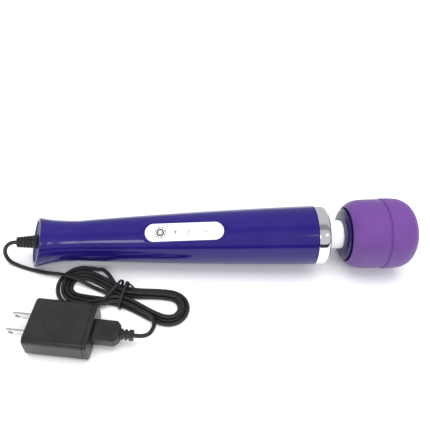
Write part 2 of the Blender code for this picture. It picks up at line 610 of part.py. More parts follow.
def make_head():
    cup_end = CUP_AT + 0.012
    cup_bore = CUP_RADIUS - 0.0022
    bearing = 0.005
    bearing_length = 0.005
    floor = CUP_AT + 0.0036
    neck_room = NECK_RADIUS + 0.0016
    pocket = bearing + FIT
    here = {"parent": NECK, "location": (-PIVOT_AT, 0.0, 0.0)}
    cup = turned("head_cup", [(CUP_AT, 0.0155), (CUP_AT + 0.0013, 0.0188), (CUP_AT + 0.0033, CUP_RADIUS),
                              (cup_end, CUP_RADIUS)],
                 [(CUP_AT, neck_room), (floor, neck_room), (floor, 0.003), (floor + 0.0006, 0.003),
                  (floor + 0.0006, pocket), (floor + 0.0068, pocket), (floor + 0.0068, pocket + 0.0028),
                  (floor + 0.0028, pocket + 0.0028), (floor + 0.0028, cup_bore), (cup_end, cup_bore)],
                 "dark_violet", **here)
    silicone_bore = CUP_RADIUS + GAP
    cover_wall = SILICONE_WALL
    covered = [point for point in head_outline(groove=False) if point[0] > cup_end + 0.001]
    lining = [(station - cover_wall * 0.35, max(radius - cover_wall, 0.0)) for station, radius in covered[:-2]]
    lining += [(WAND_LENGTH - cover_wall - 0.0011, 0.42 * HEAD_RADIUS - 0.0008), (WAND_LENGTH - cover_wall, 0.0)]
    shoulder = cup_end + GAP
    turned("silicone_cover", HEAD_OUTLINE,
           [(HEAD_OUTLINE[0][0], silicone_bore), (shoulder, silicone_bore), (shoulder, lining[0][1])] + lining[1:],
           "silicone", **here)
    skin = [(station - GAP, max(radius - GAP, 0.0)) for station, radius in lining]
    spigot = cup_bore - GAP
    spigot_start = floor + 0.0040
    dome_start = shoulder + GAP
    core = [(station - DOME_WALL * 0.4, radius - DOME_WALL) for station, radius in skin[2:-2]]
    boss_start = WAND_LENGTH - 0.0165
    front_floor = WAND_LENGTH - cover_wall - 2 * DOME_WALL
    dome = turned("head_dome",
                  [(spigot_start, spigot - 0.0019), (spigot_start, spigot), (dome_start, spigot),
                   (dome_start, skin[0][1])] + skin[1:],
                  [(dome_start + DOME_WALL, spigot - 0.0019), (dome_start + 2 * DOME_WALL, core[0][1])]
                  + [point for point in core if point[0] < boss_start + 0.003]
                  + [(front_floor, pocket + 0.0060), (front_floor, pocket + 0.0028), (boss_start, pocket + 0.0028),
                     (boss_start, pocket), (front_floor, pocket), (front_floor, 0.0)],
                  "white_plastic", **here)
    tube("bearing_rear", floor + 0.0009, floor + 0.0009 + bearing_length, bearing, SHAFT_RADIUS + FIT, "steel", **here)
    tube("bearing_front", boss_start + GAP, boss_start + GAP + bearing_length, bearing, SHAFT_RADIUS + FIT,
         "steel", **here)
    coupling_front = PIVOT_AT + COUPLING_LENGTH / 2
    rod("head_shaft", coupling_front + SPIN_GAP, boss_start + bearing_length + 0.0012, SHAFT_RADIUS, "steel", **here)
    middle = CUP_AT + 0.45 * HEAD_LENGTH
    weight = tube("eccentric_weight", middle - WEIGHT_LENGTH / 2, middle + WEIGHT_LENGTH / 2, WEIGHT_RADIUS,
                  SHAFT_RADIUS + FIT, "brass", segments=24, roll=-PANEL_ROLL, **here)
    lighten = box("weight_cutaway", (2 * WEIGHT_LENGTH, 4 * WEIGHT_RADIUS, 2 * WEIGHT_RADIUS), (0.0, 0.0, 0.0),
                  None, NECK, (-PANEL_ROLL, 0.0, 0.0))
    clear = WEIGHT_RADIUS + SHAFT_RADIUS + 0.0012
    lighten.location = (middle - PIVOT_AT, sin(PANEL_ROLL) * clear, cos(PANEL_ROLL) * clear)
    cut(weight, lighten)
    station = cup_end - 0.0025 - PIVOT_AT
    through = cylinder("head_screw_holes", SCREW_RADIUS + FIT, -2 * CUP_RADIUS, 2 * CUP_RADIUS, (station, 0.0),
                       None, NECK, 12, (pi / 2, 0.0, 0.0))
    through.location = (station, 0.0, 0.0)
    cut(cup, through)
    cut(dome, through)
    for number, side in ((1, 1), (2, -1)):
        seat = CUP_RADIUS - 0.0014
        counterbore = cylinder(f"head_counterbore_{number}", SCREW_HEAD_RADIUS + FIT, 0.0, 0.004, (0.0, 0.0),
                               None, NECK, 12, (pi / 2, 0.0, 0.0))
        counterbore.location = (station, side * (seat + 0.002), 0.0)
        cut(cup, counterbore)
        make_screw(f"head_screw_{number}", (station, side * (seat + GAP), 0.0), (side * pi / 2, 0.0, 0.0),
                   0.0032, 0.0009, NECK)


# ---- charging lead ------------------------------------------------------------------------------------------
HANK_OUTLINE = [(0.0139, -0.0205), (0.0184, -0.0128), (0.0279, -0.0100), (0.0389, -0.0138), (0.0519, -0.0212),
                (0.0649, -0.0278), (0.0819, -0.0325), (0.1029, -0.0358), (0.1144, -0.0405), (0.1181, -0.0500),
                (0.1154, -0.0630), (0.1089, -0.0668), (0.0979, -0.0615), (0.0799, -0.0555), (0.0639, -0.0502),
                (0.0479, -0.0468), (0.0319, -0.0432), (0.0209, -0.0350)]
TIE_AT = (0.0641, -0.0391)
TIE_TURN = radians(-17.0)
TIE_REACH = 0.0102           # half the hank's width inside the tie
LEAD_ROUTE = [(-0.0219, -0.0002, 0.0184), (-0.0257, -0.0012, 0.0155), (-0.0277, -0.0027, 0.0111),
              (-0.0271, -0.0046, 0.0063), (-0.0247, -0.0060, 0.003), (-0.0207, -0.0079, 0.00165),
              (-0.0138, -0.0114, 0.0016), (-0.0042, -0.0146, 0.0016), (0.0039, -0.0168, 0.00175),
              (0.0133, -0.0192, 0.0022)]
END_ROUTE = [(0.0799, -0.0767, 0.0097), (0.0847, -0.0752, 0.0091), (0.0873, -0.0705, 0.0078),
             (0.0881, -0.0650, 0.0062), (0.0873, -0.0594, 0.0048)]


def make_lead():
    rod_start = -GAP / 2
    turned("plug_barrel", [(rod_start, BARREL_RADIUS), (BARREL_LENGTH, BARREL_RADIUS)],
           [(rod_start, BARREL_BORE), (BARREL_LENGTH, BARREL_BORE)], "nickel", WAND, SMALL_SEGMENTS)
    face = -3 * GAP / 2
    tip = face - BOOT_LENGTH
    ribs = 5
    nose = 0.0042
    pitch = (BOOT_LENGTH - nose) / ribs
    outline = [(tip, 0.0)]
    for rib in range(ribs):
        start = tip + rib * pitch
        radius = BOOT_TIP_RADIUS + (BOOT_ROOT_RADIUS - BOOT_TIP_RADIUS) * rib / ribs
        outline += [(start, radius), (start + 0.6 * pitch, radius), (start + 0.6 * pitch, radius - 0.0007),
                    (start + pitch, radius - 0.0007)]
    outline += [(face - nose, BOOT_ROOT_RADIUS), (face - 0.0012, BOOT_ROOT_RADIUS), (face, BOOT_ROOT_RADIUS - 0.0008),
                (face, 0.0)]
    turned("plug_boot", outline, [], "black_rubber", WAND, SMALL_SEGMENTS)
    lead = [wand_point(tip - GAP)] + [lead_point(*point) for point in LEAD_ROUTE]
    strand("cord_lead", smooth(lead, 0.0035), CORD_RADIUS, "black_rubber", None)
    turns = smooth([table_point(*point) for point in HANK_OUTLINE], 0.007, True)
    hank = prism("cord_hank", [[(point.x, point.y) for point in turns]], 0.0, HANK_HEIGHT, "black_rubber", None)
    bevel(hank, HANK_ROUNDING)
    groove = TIE_THICKNESS + 2 * GAP
    across = 2 * TIE_REACH
    core_height = HANK_HEIGHT - 2 * groove
    turn = (pi / 2, 0.0, TIE_TURN + pi / 2)
    spot = table_point(*TIE_AT, HANK_HEIGHT / 2)
    ditch = prism("tie_groove", [rounded_rectangle(2 * across, 2 * HANK_HEIGHT, 0.001),
                                 rounded_rectangle(across, core_height, 0.001)],
                  -TIE_WIDTH / 2 - GAP, TIE_WIDTH / 2 + GAP, None, None, spot, turn)
    cut(hank, ditch)
    inner = (across + 2 * GAP, core_height + 2 * GAP)
    prism("twist_tie", [rounded_rectangle(inner[0] + 2 * TIE_THICKNESS, inner[1] + 2 * TIE_THICKNESS, 0.0018),
                        rounded_rectangle(*inner, 0.001)],
          -TIE_WIDTH / 2, TIE_WIDTH / 2, "black_plastic", None, spot, turn)


def make_usb_plug():
    """The cord's far plug: overmould with a slotted strain relief, metal shell and contact tongue."""
    body_length, body_width, body_height = USB_BODY
    start = ADAPTER_LENGTH + GAP
    slim = 0.0048
    side = body_width / 2
    outline = [(0.0, -side), (body_length - 0.0030, -side), (body_length, -slim), (body_length, slim),
               (body_length - 0.0030, side), (0.0, side)]
    boot = prism("usb_boot", [outline], -body_height / 2, body_height / 2, "black_rubber", ADAPTER,
                 (start, 0.0, USB_HEIGHT))
    bevel(boot, 0.0011, 1)
    relief_length, relief_width, relief_height = USB_RELIEF
    relief = box("usb_relief", (relief_length + 0.002, relief_width, relief_height),
                 (start + body_length + relief_length / 2 - 0.001, 0.0, USB_HEIGHT), None, ADAPTER)
    cut(boot, relief, "UNION")
    for number, along in ((1, 0.0022), (2, 0.0052)):
        for label, way in (("left", 1), ("right", -1)):
            notch = box(f"relief_notch_{number}_{label}", (0.0014, 0.003, 2 * relief_height),
                        (start + body_length + along, way * (relief_width / 2 + 0.0005), USB_HEIGHT), None, ADAPTER)
            cut(boot, notch)
    length, width, height = USB_SHELL
    wall = 0.0004
    turn = (pi / 2, 0.0, pi / 2)
    back = start - GAP
    shell_front = back - length
    prism("usb_shell", [rounded_rectangle(width, height, 0.0006, 1),
                        rounded_rectangle(width - 2 * wall, height - 2 * wall, 0.0003, 1)],
          0.0, length, "nickel", ADAPTER, (shell_front, 0.0, USB_HEIGHT), turn)
    tongue_height = 0.0017
    low = -height / 2 + wall + GAP
    box("usb_tongue", (length - 0.001, width - 2 * wall - 2 * GAP, tongue_height),
        (back - (length - 0.001) / 2 , 0.0, USB_HEIGHT + low + tongue_height / 2), "white_plastic", ADAPTER)
    end = adapter_point(start + body_length + relief_length + GAP, 0.0, USB_HEIGHT)
    route = [end] + [table_point(*point) for point in END_ROUTE]
    strand("cord_end", smooth(route, 0.0035), CORD_RADIUS, "black_rubber", None)


# ---- wall adapter -------------------------------------------------------------------------------------------
def make_adapter():
    turn = (pi / 2, 0.0, pi / 2)
    middle = (0.0, 0.0, ADAPTER_HEIGHT / 2)
    outside = rounded_rectangle(ADAPTER_WIDTH, ADAPTER_HEIGHT, ADAPTER_ROUNDING, 4)
    inside = rounded_rectangle(ADAPTER_WIDTH - 2 * ADAPTER_WALL, ADAPTER_HEIGHT - 2 * ADAPTER_WALL,
                               ADAPTER_ROUNDING - ADAPTER_WALL, 4)
    case = prism("adapter_case", [outside], 0.0, ADAPTER_LENGTH, "black_satin", ADAPTER, middle, turn)
    cavity = prism("case_cavity", [inside], -0.001, ADAPTER_LENGTH - ADAPTER_WALL, None, ADAPTER, middle, turn)
    cut(case, cavity)
    length, width, height = USB_SHELL
    port = prism("usb_port", [rounded_rectangle(width + 2 * FIT, height + 2 * FIT, 0.0008, 1)],
                 ADAPTER_LENGTH - 2 * ADAPTER_WALL, ADAPTER_LENGTH + ADAPTER_WALL, None, ADAPTER, middle, turn)
    cut(case, port)
    dish = cylinder("top_dish", 0.0113, ADAPTER_HEIGHT - 0.0005, ADAPTER_HEIGHT + 0.001,
                    (ADAPTER_LENGTH / 2, 0.0), None, ADAPTER, 24)
    cut(case, dish)
    plate_thickness = 0.002
    fitted = rounded_rectangle(ADAPTER_WIDTH - 2 * ADAPTER_WALL - 2 * GAP, ADAPTER_HEIGHT - 2 * ADAPTER_WALL - 2 * GAP,
                               ADAPTER_ROUNDING - ADAPTER_WALL - GAP, 4)
    plate = prism("prong_plate", [fitted], 0.0, plate_thickness, "black_satin", ADAPTER, middle, turn)
    root = plate_thickness + 0.004
    for number, way in ((1, 1), (2, -1)):
        place_y = way * PRONG_SPACING / 2
        slot = box(f"prong_slot_{number}", (4 * plate_thickness, PRONG_THICKNESS + 2 * GAP, PRONG_WIDTH + 2 * GAP),
                   (0.0, place_y, ADAPTER_HEIGHT / 2), None, ADAPTER)
        cut(plate, slot)
        half = PRONG_WIDTH / 2
        tip = PRONG_LENGTH
        chamfer = 0.0014
        blade = [(root, -half), (root, half), (-tip + chamfer, half), (-tip, half - chamfer), (-tip, -half + chamfer),
                 (-tip + chamfer, -half)]
        steps = 12
        hole = [(-PRONG_HOLE_AT + PRONG_HOLE_RADIUS * cos(2 * pi * i / steps),
                 PRONG_HOLE_RADIUS * sin(2 * pi * i / steps)) for i in range(steps)]
        prism(f"prong_{number}", [blade, hole], -PRONG_THICKNESS / 2, PRONG_THICKNESS / 2, "nickel", ADAPTER,
              (0.0, place_y, ADAPTER_HEIGHT / 2), (pi / 2, 0.0, 0.0))
    cage_wall = 0.0006
    depth = length + 0.0006
    cage_width, cage_height = width + 2 * FIT, height + 2 * FIT
    back = ADAPTER_LENGTH - ADAPTER_WALL - GAP
    cage_start = ADAPTER_LENGTH - depth - cage_wall
    socket = prism("adapter_socket", [rounded_rectangle(cage_width + 2 * cage_wall, cage_height + 2 * cage_wall,
                                                        0.0008, 1)],
                   cage_start, back, "nickel", ADAPTER, middle, turn)
    hollow = prism("socket_hollow", [rounded_rectangle(cage_width, cage_height, 0.0006, 1)],
                   cage_start + cage_wall, ADAPTER_LENGTH, None, ADAPTER, middle, turn)
    cut(socket, hollow)
    board_top = ADAPTER_HEIGHT / 2 - cage_height / 2 - cage_wall - GAP
    board = box("adapter_board", (0.029, 0.027, 0.0012),
                (back - 0.0150, 0.0, board_top - 0.0006), "board_green", ADAPTER)
    transformer = box("transformer", (0.0125, 0.016, 0.0085),
                      (cage_start - 0.0010 - 0.00625, 0.0, board_top + 0.0038), None, ADAPTER)
    cut(board, transformer, "UNION")


make_shells()
make_ring()
make_tail()
make_control()
make_battery()
make_wires()
make_motor()
make_neck()
make_head()
make_lead()
make_usb_plug()
make_adapter()
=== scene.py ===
"""Handheld wand massager with its charging lead and wall adapter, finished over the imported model.

Metres throughout. Wand pieces are made along the wand's own axis: X is the station from the
charging jack's mouth, Z points out of the control panel. The lead, the adapter and the camera are
laid out from the point of the table below station 0.
"""
import json
from math import atan, cos, hypot, pi, radians, sin

import bmesh
import bpy
from mathutils import Matrix, Vector


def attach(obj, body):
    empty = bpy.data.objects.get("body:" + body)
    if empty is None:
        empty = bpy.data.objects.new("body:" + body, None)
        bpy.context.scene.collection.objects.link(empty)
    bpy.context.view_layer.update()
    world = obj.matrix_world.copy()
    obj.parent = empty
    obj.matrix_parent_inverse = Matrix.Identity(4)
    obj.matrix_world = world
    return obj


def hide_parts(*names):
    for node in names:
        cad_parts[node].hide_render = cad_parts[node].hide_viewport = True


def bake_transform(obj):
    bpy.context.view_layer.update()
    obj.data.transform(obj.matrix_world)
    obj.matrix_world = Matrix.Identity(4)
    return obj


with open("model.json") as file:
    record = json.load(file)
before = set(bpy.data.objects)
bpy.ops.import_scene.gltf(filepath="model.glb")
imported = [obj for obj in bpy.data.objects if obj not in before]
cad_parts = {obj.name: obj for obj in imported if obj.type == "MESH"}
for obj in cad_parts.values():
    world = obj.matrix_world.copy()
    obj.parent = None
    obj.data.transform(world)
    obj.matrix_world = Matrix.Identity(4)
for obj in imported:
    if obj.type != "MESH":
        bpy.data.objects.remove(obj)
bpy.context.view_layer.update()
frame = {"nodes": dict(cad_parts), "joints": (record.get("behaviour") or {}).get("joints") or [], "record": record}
JOINTS = {joint["name"]: joint for joint in frame["joints"]}

# ---- sizes --------------------------------------------------------------------------------------
HANDLE_LENGTH = 0.211
TAIL_RADIUS = 0.0191
TAIL_SLANT = 0.45                # lean of the tail's end face
TAIL_OVERHANG = 0.003
TAIL_BLEND = 0.032               # length over which the lean runs out
WAIST_RADIUS = 0.0155
WAIST_AT = 0.030
FLARE_POWER = 2.2
SHOULDER_RADIUS = 0.0232
SWELL = 0.5
SHELL_WALL = 0.0024
TAIL_LIP = 0.0008
PARTING = radians(0.18)          # half the parting gap between the shells
CAP_RADIUS = 0.0160
RING_START = 0.2112
RING_END = 0.221
RING_OPENING = 0.014
PIVOT_AT = 0.2273
CUP_AT = 0.2336
WAND_LENGTH = 0.293
HEAD_LENGTH = 0.0594
HEAD_RADIUS = 0.028
SILICONE_WALL = 0.0026
NECK_RADIUS = 0.0113
NECK_BORE = 0.0075
NECK_REAR = 0.0110
NECK_FRONT = 0.0056
CUP_RADIUS = 0.0194
CUP_LENGTH = 0.012
PANEL_AT = 0.1105
PANEL_HEIGHT = 0.018625          # panel face above the wand's axis
PANEL_LENGTH = 0.059
PANEL_WIDTH = 0.0138
PANEL_THICKNESS = 0.0019
KEY_HEIGHT = 0.0032
KEY_SPOTS = {"power_key": (-0.0180, 0.0043), "plus_key": (-0.0068, 0.0034),
             "minus_key": (0.0032, 0.0034), "pattern_key": (0.0152, 0.0034)}
MARK_THICKNESS = 0.00006
SHELL_SCREWS = (0.050, 0.157)
BOOT_FACE = -0.00045
BOOT_LENGTH = 0.0165
CORD_RADIUS = 0.0015
TIE_AT = (0.0641, -0.0391)
TIE_TURN = radians(-17)
ADAPTER_LENGTH = 0.043
ADAPTER_WIDTH = 0.0355
ADAPTER_HEIGHT = 0.0195
ADAPTER_ROUNDING = 0.0045
BLADE_SPACING = 0.0127
BLADE_WIDTH = 0.00635
BLADE_THICKNESS = 0.0015
BLADE_LENGTH = 0.016
BLADE_HOLE_AT = 0.0119
BLADE_HOLE_RADIUS = 0.0016
USB_START = 0.0433
USB_BODY = (0.018, 0.016, 0.0082)
USB_RELIEF = (0.0092, 0.0062, 0.0056)

# ---- the wand's own frame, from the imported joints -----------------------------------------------
PIVOT = Vector(JOINTS["neck_bend_up"]["pos_m"])
ALONG = Vector(JOINTS["motor_spin"]["axis"]).normalized()
PANEL_OUT = -Vector(JOINTS["power_key_press"]["axis"]).normalized()
OUT = (PANEL_OUT - ALONG * PANEL_OUT.dot(ALONG)).normalized()
SIDE = OUT.cross(ALONG)
WAND = Matrix.Translation(PIVOT - ALONG * PIVOT_AT) @ Matrix((ALONG, SIDE, OUT)).transposed().to_4x4()
SLOPE = atan((SHOULDER_RADIUS - WAIST_RADIUS) / (HANDLE_LENGTH - WAIST_AT)
             * (1 + SWELL * (1 - 2 * (PANEL_AT - WAIST_AT) / (HANDLE_LENGTH - WAIST_AT))))
PANEL_SPOT = Matrix.Translation((PANEL_AT, 0.0, PANEL_HEIGHT)) @ Matrix.Rotation(-SLOPE, 4, "Y")
PANEL = WAND @ PANEL_SPOT
BELOW_TAIL = Matrix.Translation((WAND.translation.x, 0.0, 0.0))
ADAPTER_PLACE = BELOW_TAIL @ Matrix.Translation((0.0051, -0.0664, 0.0)) @ Matrix.Rotation(radians(-8), 4, "Z")

# ---- camera -------------------------------------------------------------------------------------
CAMERA_AT = (0.1033, -0.2376, 0.3016)
CAMERA_RIGHT = Vector((0.9964, -0.0575, 0.0615))
CAMERA_AHEAD = Vector((0.0842, 0.6831, -0.7255))


def set_camera():
    camera = bpy.data.objects.new("camera", bpy.data.cameras.new("camera"))
    bpy.context.scene.collection.objects.link(camera)
    camera.data.lens = 39.1
    camera.data.sensor_width = 36.0
    camera.data.clip_start = 0.01
    back = -CAMERA_AHEAD.normalized()
    up = back.cross(CAMERA_RIGHT).normalized()
    turn = Matrix((up.cross(back), up, back)).transposed()
    camera.matrix_world = BELOW_TAIL @ Matrix.Translation(CAMERA_AT) @ turn.to_4x4()
    bpy.context.scene.camera = camera


set_camera()


# ---- finishes -----------------------------------------------------------------------------------
def finish(name, dark, light, rough, grain=60.0, bump=0.0, bump_grain=400.0, stretch=None, **fixed):
    """A procedural finish: colour and roughness wander with a noise, and a finer noise raises the skin."""
    made = bpy.data.materials.new(name)
    made.use_nodes = True
    nodes, links = made.node_tree.nodes, made.node_tree.links
    shader = nodes["Principled BSDF"]
    for socket, value in fixed.items():
        shader.inputs[socket.replace("_", " ")].default_value = value
    place = nodes.new("ShaderNodeTexCoord").outputs["Object"]
    if stretch:
        mapping = nodes.new("ShaderNodeMapping")
        mapping.inputs["Scale"].default_value = stretch
        links.new(place, mapping.inputs["Vector"])
        place = mapping.outputs["Vector"]
    wander = nodes.new("ShaderNodeTexNoise")
    wander.inputs["Scale"].default_value = grain
    wander.inputs["Detail"].default_value = 4.0
    links.new(place, wander.inputs["Vector"])
    ramp = nodes.new("ShaderNodeValToRGB")
    ramp.color_ramp.elements[0].position = 0.35
    ramp.color_ramp.elements[1].position = 0.65
    ramp.color_ramp.elements[0].color = (*dark, 1.0)
    ramp.color_ramp.elements[1].color = (*light, 1.0)
    links.new(wander.outputs["Fac"], ramp.inputs["Fac"])
    links.new(ramp.outputs["Color"], shader.inputs["Base Color"])
    spread = nodes.new("ShaderNodeMapRange")
    spread.inputs["From Min"].default_value = 0.3
    spread.inputs["From Max"].default_value = 0.7
    spread.inputs["To Min"].default_value = rough[0]
    spread.inputs["To Max"].default_value = rough[1]
    links.new(wander.outputs["Fac"], spread.inputs["Value"])
    links.new(spread.outputs["Result"], shader.inputs["Roughness"])
    if bump:
        skin = nodes.new("ShaderNodeTexNoise")
        skin.inputs["Scale"].default_value = bump_grain
        skin.inputs["Detail"].default_value = 3.0
        links.new(place, skin.inputs["Vector"])
        raised = nodes.new("ShaderNodeBump")
        raised.inputs["Strength"].default_value = bump
        raised.inputs["Distance"].default_value = 0.0002
        links.new(skin.outputs["Fac"], raised.inputs["Height"])
        links.new(raised.outputs["Normal"], shader.inputs["Normal"])
    return made


FINISHES = {
    "violet_gloss": finish("violet_gloss", (0.012, 0.006, 0.125), (0.016, 0.008, 0.145), (0.10, 0.15), 45.0,
                           0.02, 900.0, Coat_Weight=0.05, Coat_Roughness=0.06, Specular_IOR_Level=0.36),
    "violet_satin": finish("violet_satin", (0.020, 0.010, 0.120), (0.026, 0.012, 0.140), (0.46, 0.54), 45.0,
                           0.02, 900.0, Specular_IOR_Level=0.12),
    "dark_violet": finish("dark_violet", (0.012, 0.005, 0.060), (0.018, 0.007, 0.080), (0.18, 0.26), 50.0,
                          0.03, 1200.0),
    "chrome": finish("chrome", (0.80, 0.80, 0.82), (0.86, 0.86, 0.88), (0.03, 0.07), 40.0, Metallic=1.0),
    "white_soft": finish("white_soft", (0.80, 0.80, 0.82), (0.85, 0.85, 0.86), (0.38, 0.48), 60.0, 0.04, 1500.0),
    "grey_key": finish("grey_key", (0.80, 0.80, 0.82), (0.84, 0.84, 0.86), (0.36, 0.46), 80.0, 0.04, 1800.0),
    "silicone": finish("silicone", (0.112, 0.038, 0.215), (0.130, 0.046, 0.242), (0.50, 0.62), 50.0,
                       0.10, 1400.0, Sheen_Weight=0.06, Sheen_Roughness=0.45),
    "black_rubber": finish("black_rubber", (0.008, 0.009, 0.009), (0.016, 0.017, 0.017), (0.34, 0.46), 90.0,
                           0.08, 1600.0),
    "black_satin": finish("black_satin", (0.010, 0.010, 0.011), (0.015, 0.015, 0.016), (0.30, 0.38), 70.0,
                          0.12, 2600.0),
    "white_plastic": finish("white_plastic", (0.66, 0.65, 0.60), (0.74, 0.73, 0.69), (0.40, 0.50), 60.0, 0.05),
    "black_plastic": finish("black_plastic", (0.012, 0.012, 0.013), (0.022, 0.022, 0.023), (0.35, 0.45), 90.0, 0.06),
    "board_green": finish("board_green", (0.010, 0.110, 0.035), (0.020, 0.150, 0.050), (0.30, 0.42), 300.0, 0.10),
    "steel": finish("steel", (0.42, 0.42, 0.43), (0.56, 0.56, 0.57), (0.24, 0.36), 120.0, 0.05, Metallic=1.0),
    "nickel": finish("nickel", (0.62, 0.61, 0.58), (0.78, 0.77, 0.74), (0.16, 0.28), 160.0, 0.06, 500.0,
                     (1.0, 12.0, 12.0), Metallic=1.0),
    "magnet": finish("magnet", (0.050, 0.050, 0.055), (0.085, 0.085, 0.092), (0.50, 0.65), 200.0, 0.20, Metallic=0.4),
    "copper": finish("copper", (0.45, 0.16, 0.07), (0.66, 0.28, 0.13), (0.28, 0.40), 260.0, 0.15, Metallic=1.0),
    "cell_wrap": finish("cell_wrap", (0.030, 0.130, 0.320), (0.045, 0.170, 0.390), (0.25, 0.35), 60.0, 0.04),
    "wire_red": finish("wire_red", (0.360, 0.015, 0.012), (0.480, 0.025, 0.020), (0.38, 0.48), 120.0, 0.05),
    "wire_black": finish("wire_black", (0.012, 0.012, 0.012), (0.022, 0.022, 0.022), (0.38, 0.48), 120.0, 0.05),
    "mark_grey": finish("mark_grey", (0.17, 0.20, 0.21), (0.22, 0.25, 0.26), (0.45, 0.55), 200.0),
    "mark_dark": finish("mark_dark", (0.010, 0.012, 0.013), (0.020, 0.022, 0.024), (0.40, 0.50), 200.0),
}
for subpart in frame["record"]["subparts"]:
    for carried in frame["nodes"][subpart["node"]].material_slots:
        carried.material = FINISHES[subpart["material_slot"]]


# ---- making and placing pieces ------------------------------------------------------------------
def piece(name, bm, body, look, stands_for=(), place=None, crease=35.0):
    """Turns a bmesh into a finished piece on its body, with its place in its mesh."""
    if place is not None:
        bm.transform(place)
    mesh = bpy.data.meshes.new(name)
    bm.to_mesh(mesh)
    bm.free()
    mesh.shade_smooth()
    mesh.set_sharp_from_angle(angle=radians(crease))
    made = bpy.data.objects.new(name, mesh)
    bpy.context.scene.collection.objects.link(made)
    mesh.materials.append(FINISHES[look])
    if body:
        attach(made, body)
    if stands_for:
        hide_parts(*stands_for)
    return made


def carve(made, cutters, operation="DIFFERENCE"):
    """Cuts the cutters out of a piece, and leaves a plain mesh."""
    for cutter in cutters:
        cut = made.modifiers.new("cut", "BOOLEAN")
        cut.operation = operation
        cut.solver = "EXACT"
        cut.object = cutter
    bpy.context.view_layer.update()
    carved = bpy.data.meshes.new_from_object(made.evaluated_get(bpy.context.evaluated_depsgraph_get()))
    made.modifiers.clear()
    made.data = carved
    for cutter in cutters:
        bpy.data.objects.remove(cutter)
    carved.shade_smooth()
    carved.set_sharp_from_angle(angle=radians(35))


def outline_loop(bm, points):
    corners = [bm.verts.new(point) for point in points]
    return corners, [bm.edges.new(pair) for pair in zip(corners, corners[1:] + corners[:1])]


def closed(bm):
    bmesh.ops.remove_doubles(bm, verts=bm.verts, dist=1e-7)
    bmesh.ops.recalc_face_normals(bm, faces=bm.faces)
    return bm


def turned(outline, steps=128):
    """A full turn of a closed outline of (station, radius) points round the wand's axis."""
    bm = bmesh.new()
    corners, edges = outline_loop(bm, [(station, 0.0, radius) for station, radius in outline])
    bmesh.ops.spin(bm, geom=corners + edges, cent=(0, 0, 0), axis=(1, 0, 0), angle=2 * pi, steps=steps,
                   use_merge=True)
    bmesh.ops.dissolve_degenerate(bm, edges=bm.edges, dist=1e-7)
    return closed(bm)


def half_turned(outline, start, steps=96):
    """Half a turn of a closed outline, less the parting gap at both sides."""
    bm = bmesh.new()
    corners, edges = outline_loop(bm, [(station, 0.0, radius) for station, radius in outline])
    face = bm.faces.new(corners)
    bmesh.ops.rotate(bm, verts=corners, cent=(0, 0, 0), matrix=Matrix.Rotation(start + PARTING, 3, "X"))
    bmesh.ops.spin(bm, geom=corners + edges + [face], cent=(0, 0, 0), axis=(1, 0, 0), angle=pi - 2 * PARTING,
                   steps=steps)
    return closed(bm)


def slab(points, low, high):
    """A flat outline given a thickness."""
    bm = bmesh.new()
    corners, _ = outline_loop(bm, [(x, y, low) for x, y in points])
    face = bm.faces.new(corners)
    risen = bmesh.ops.extrude_face_region(bm, geom=[face])["geom"]
    bmesh.ops.translate(bm, verts=[v for v in risen if isinstance(v, bmesh.types.BMVert)], vec=(0, 0, high - low))
    return closed(bm)


def soften(bm, width, segments=3, pick=lambda edge: True, angle=30.0):
    """Rounds the edges that turn by more than an angle and that pick accepts."""
    edges = [edge for edge in bm.edges
             if len(edge.link_faces) == 2 and edge.calc_face_angle(0.0) > radians(angle) and pick(edge)]
    bmesh.ops.bevel(bm, geom=edges, offset=width, segments=segments, profile=0.5, affect="EDGES", material=-1,
                    clamp_overlap=True)
    return bm


def block(size, middle=(0, 0, 0)):
    bm = bmesh.new()
    bmesh.ops.create_cube(bm, size=1.0)
    bmesh.ops.scale(bm, verts=bm.verts, vec=size)
    bmesh.ops.translate(bm, verts=bm.verts, vec=middle)
    return bm


def peg(radius, low, high, spot=(0.0, 0.0), steps=48):
    bm = bmesh.new()
    bmesh.ops.create_cone(bm, cap_ends=True, segments=steps, radius1=radius, radius2=radius, depth=high - low)
    bmesh.ops.translate(bm, verts=bm.verts, vec=(spot[0], spot[1], (low + high) / 2))
    return bm


def arc(middle, radius, start, stop, steps):
    return [(middle[0] + radius * cos(radians(start + (stop - start) * i / steps)),
             middle[1] + radius * sin(radians(start + (stop - start) * i / steps))) for i in range(steps + 1)]


def stadium(length, width, steps=24):
    reach = (length - width) / 2
    return arc((reach, 0.0), width / 2, -90, 90, steps) + arc((-reach, 0.0), width / 2, 90, 270, steps)


def joined(parts):
    """One bmesh of several."""
    whole = bmesh.new()
    for part in parts:
        mesh = bpy.data.meshes.new("part")
        part.to_mesh(mesh)
        part.free()
        whole.from_mesh(mesh)
        bpy.data.meshes.remove(mesh)
    return whole


# ---- charging cord, laid out from below the tail ------------------------------------------------
CORD_PITCH = 0.0031          # from one turn to the next, side by side or one on the other
ON_TABLE = 0.00155           # height of the cord's middle line
LEAD_ROUTE = [(-0.0172, 0.0, 0.0189), (-0.0219, -0.0002, 0.0182), (-0.0257, -0.0012, 0.0155),
              (-0.0277, -0.0027, 0.0111), (-0.0271, -0.0046, 0.0063), (-0.0247, -0.0063, 0.0032),
              (-0.0200, -0.0084, 0.00185), (-0.0138, -0.0110, 0.0016), (-0.0042, -0.0144, 0.0016),
              (0.0039, -0.0168, 0.0021), (0.0133, -0.0192, 0.0037)]
END_ROUTE = [(0.0881, -0.0650, 0.0062), (0.0873, -0.0705, 0.0078), (0.0847, -0.0749, 0.0091),
             (0.0806, -0.0765, 0.0096), (0.0752, -0.0763, 0.0098)]

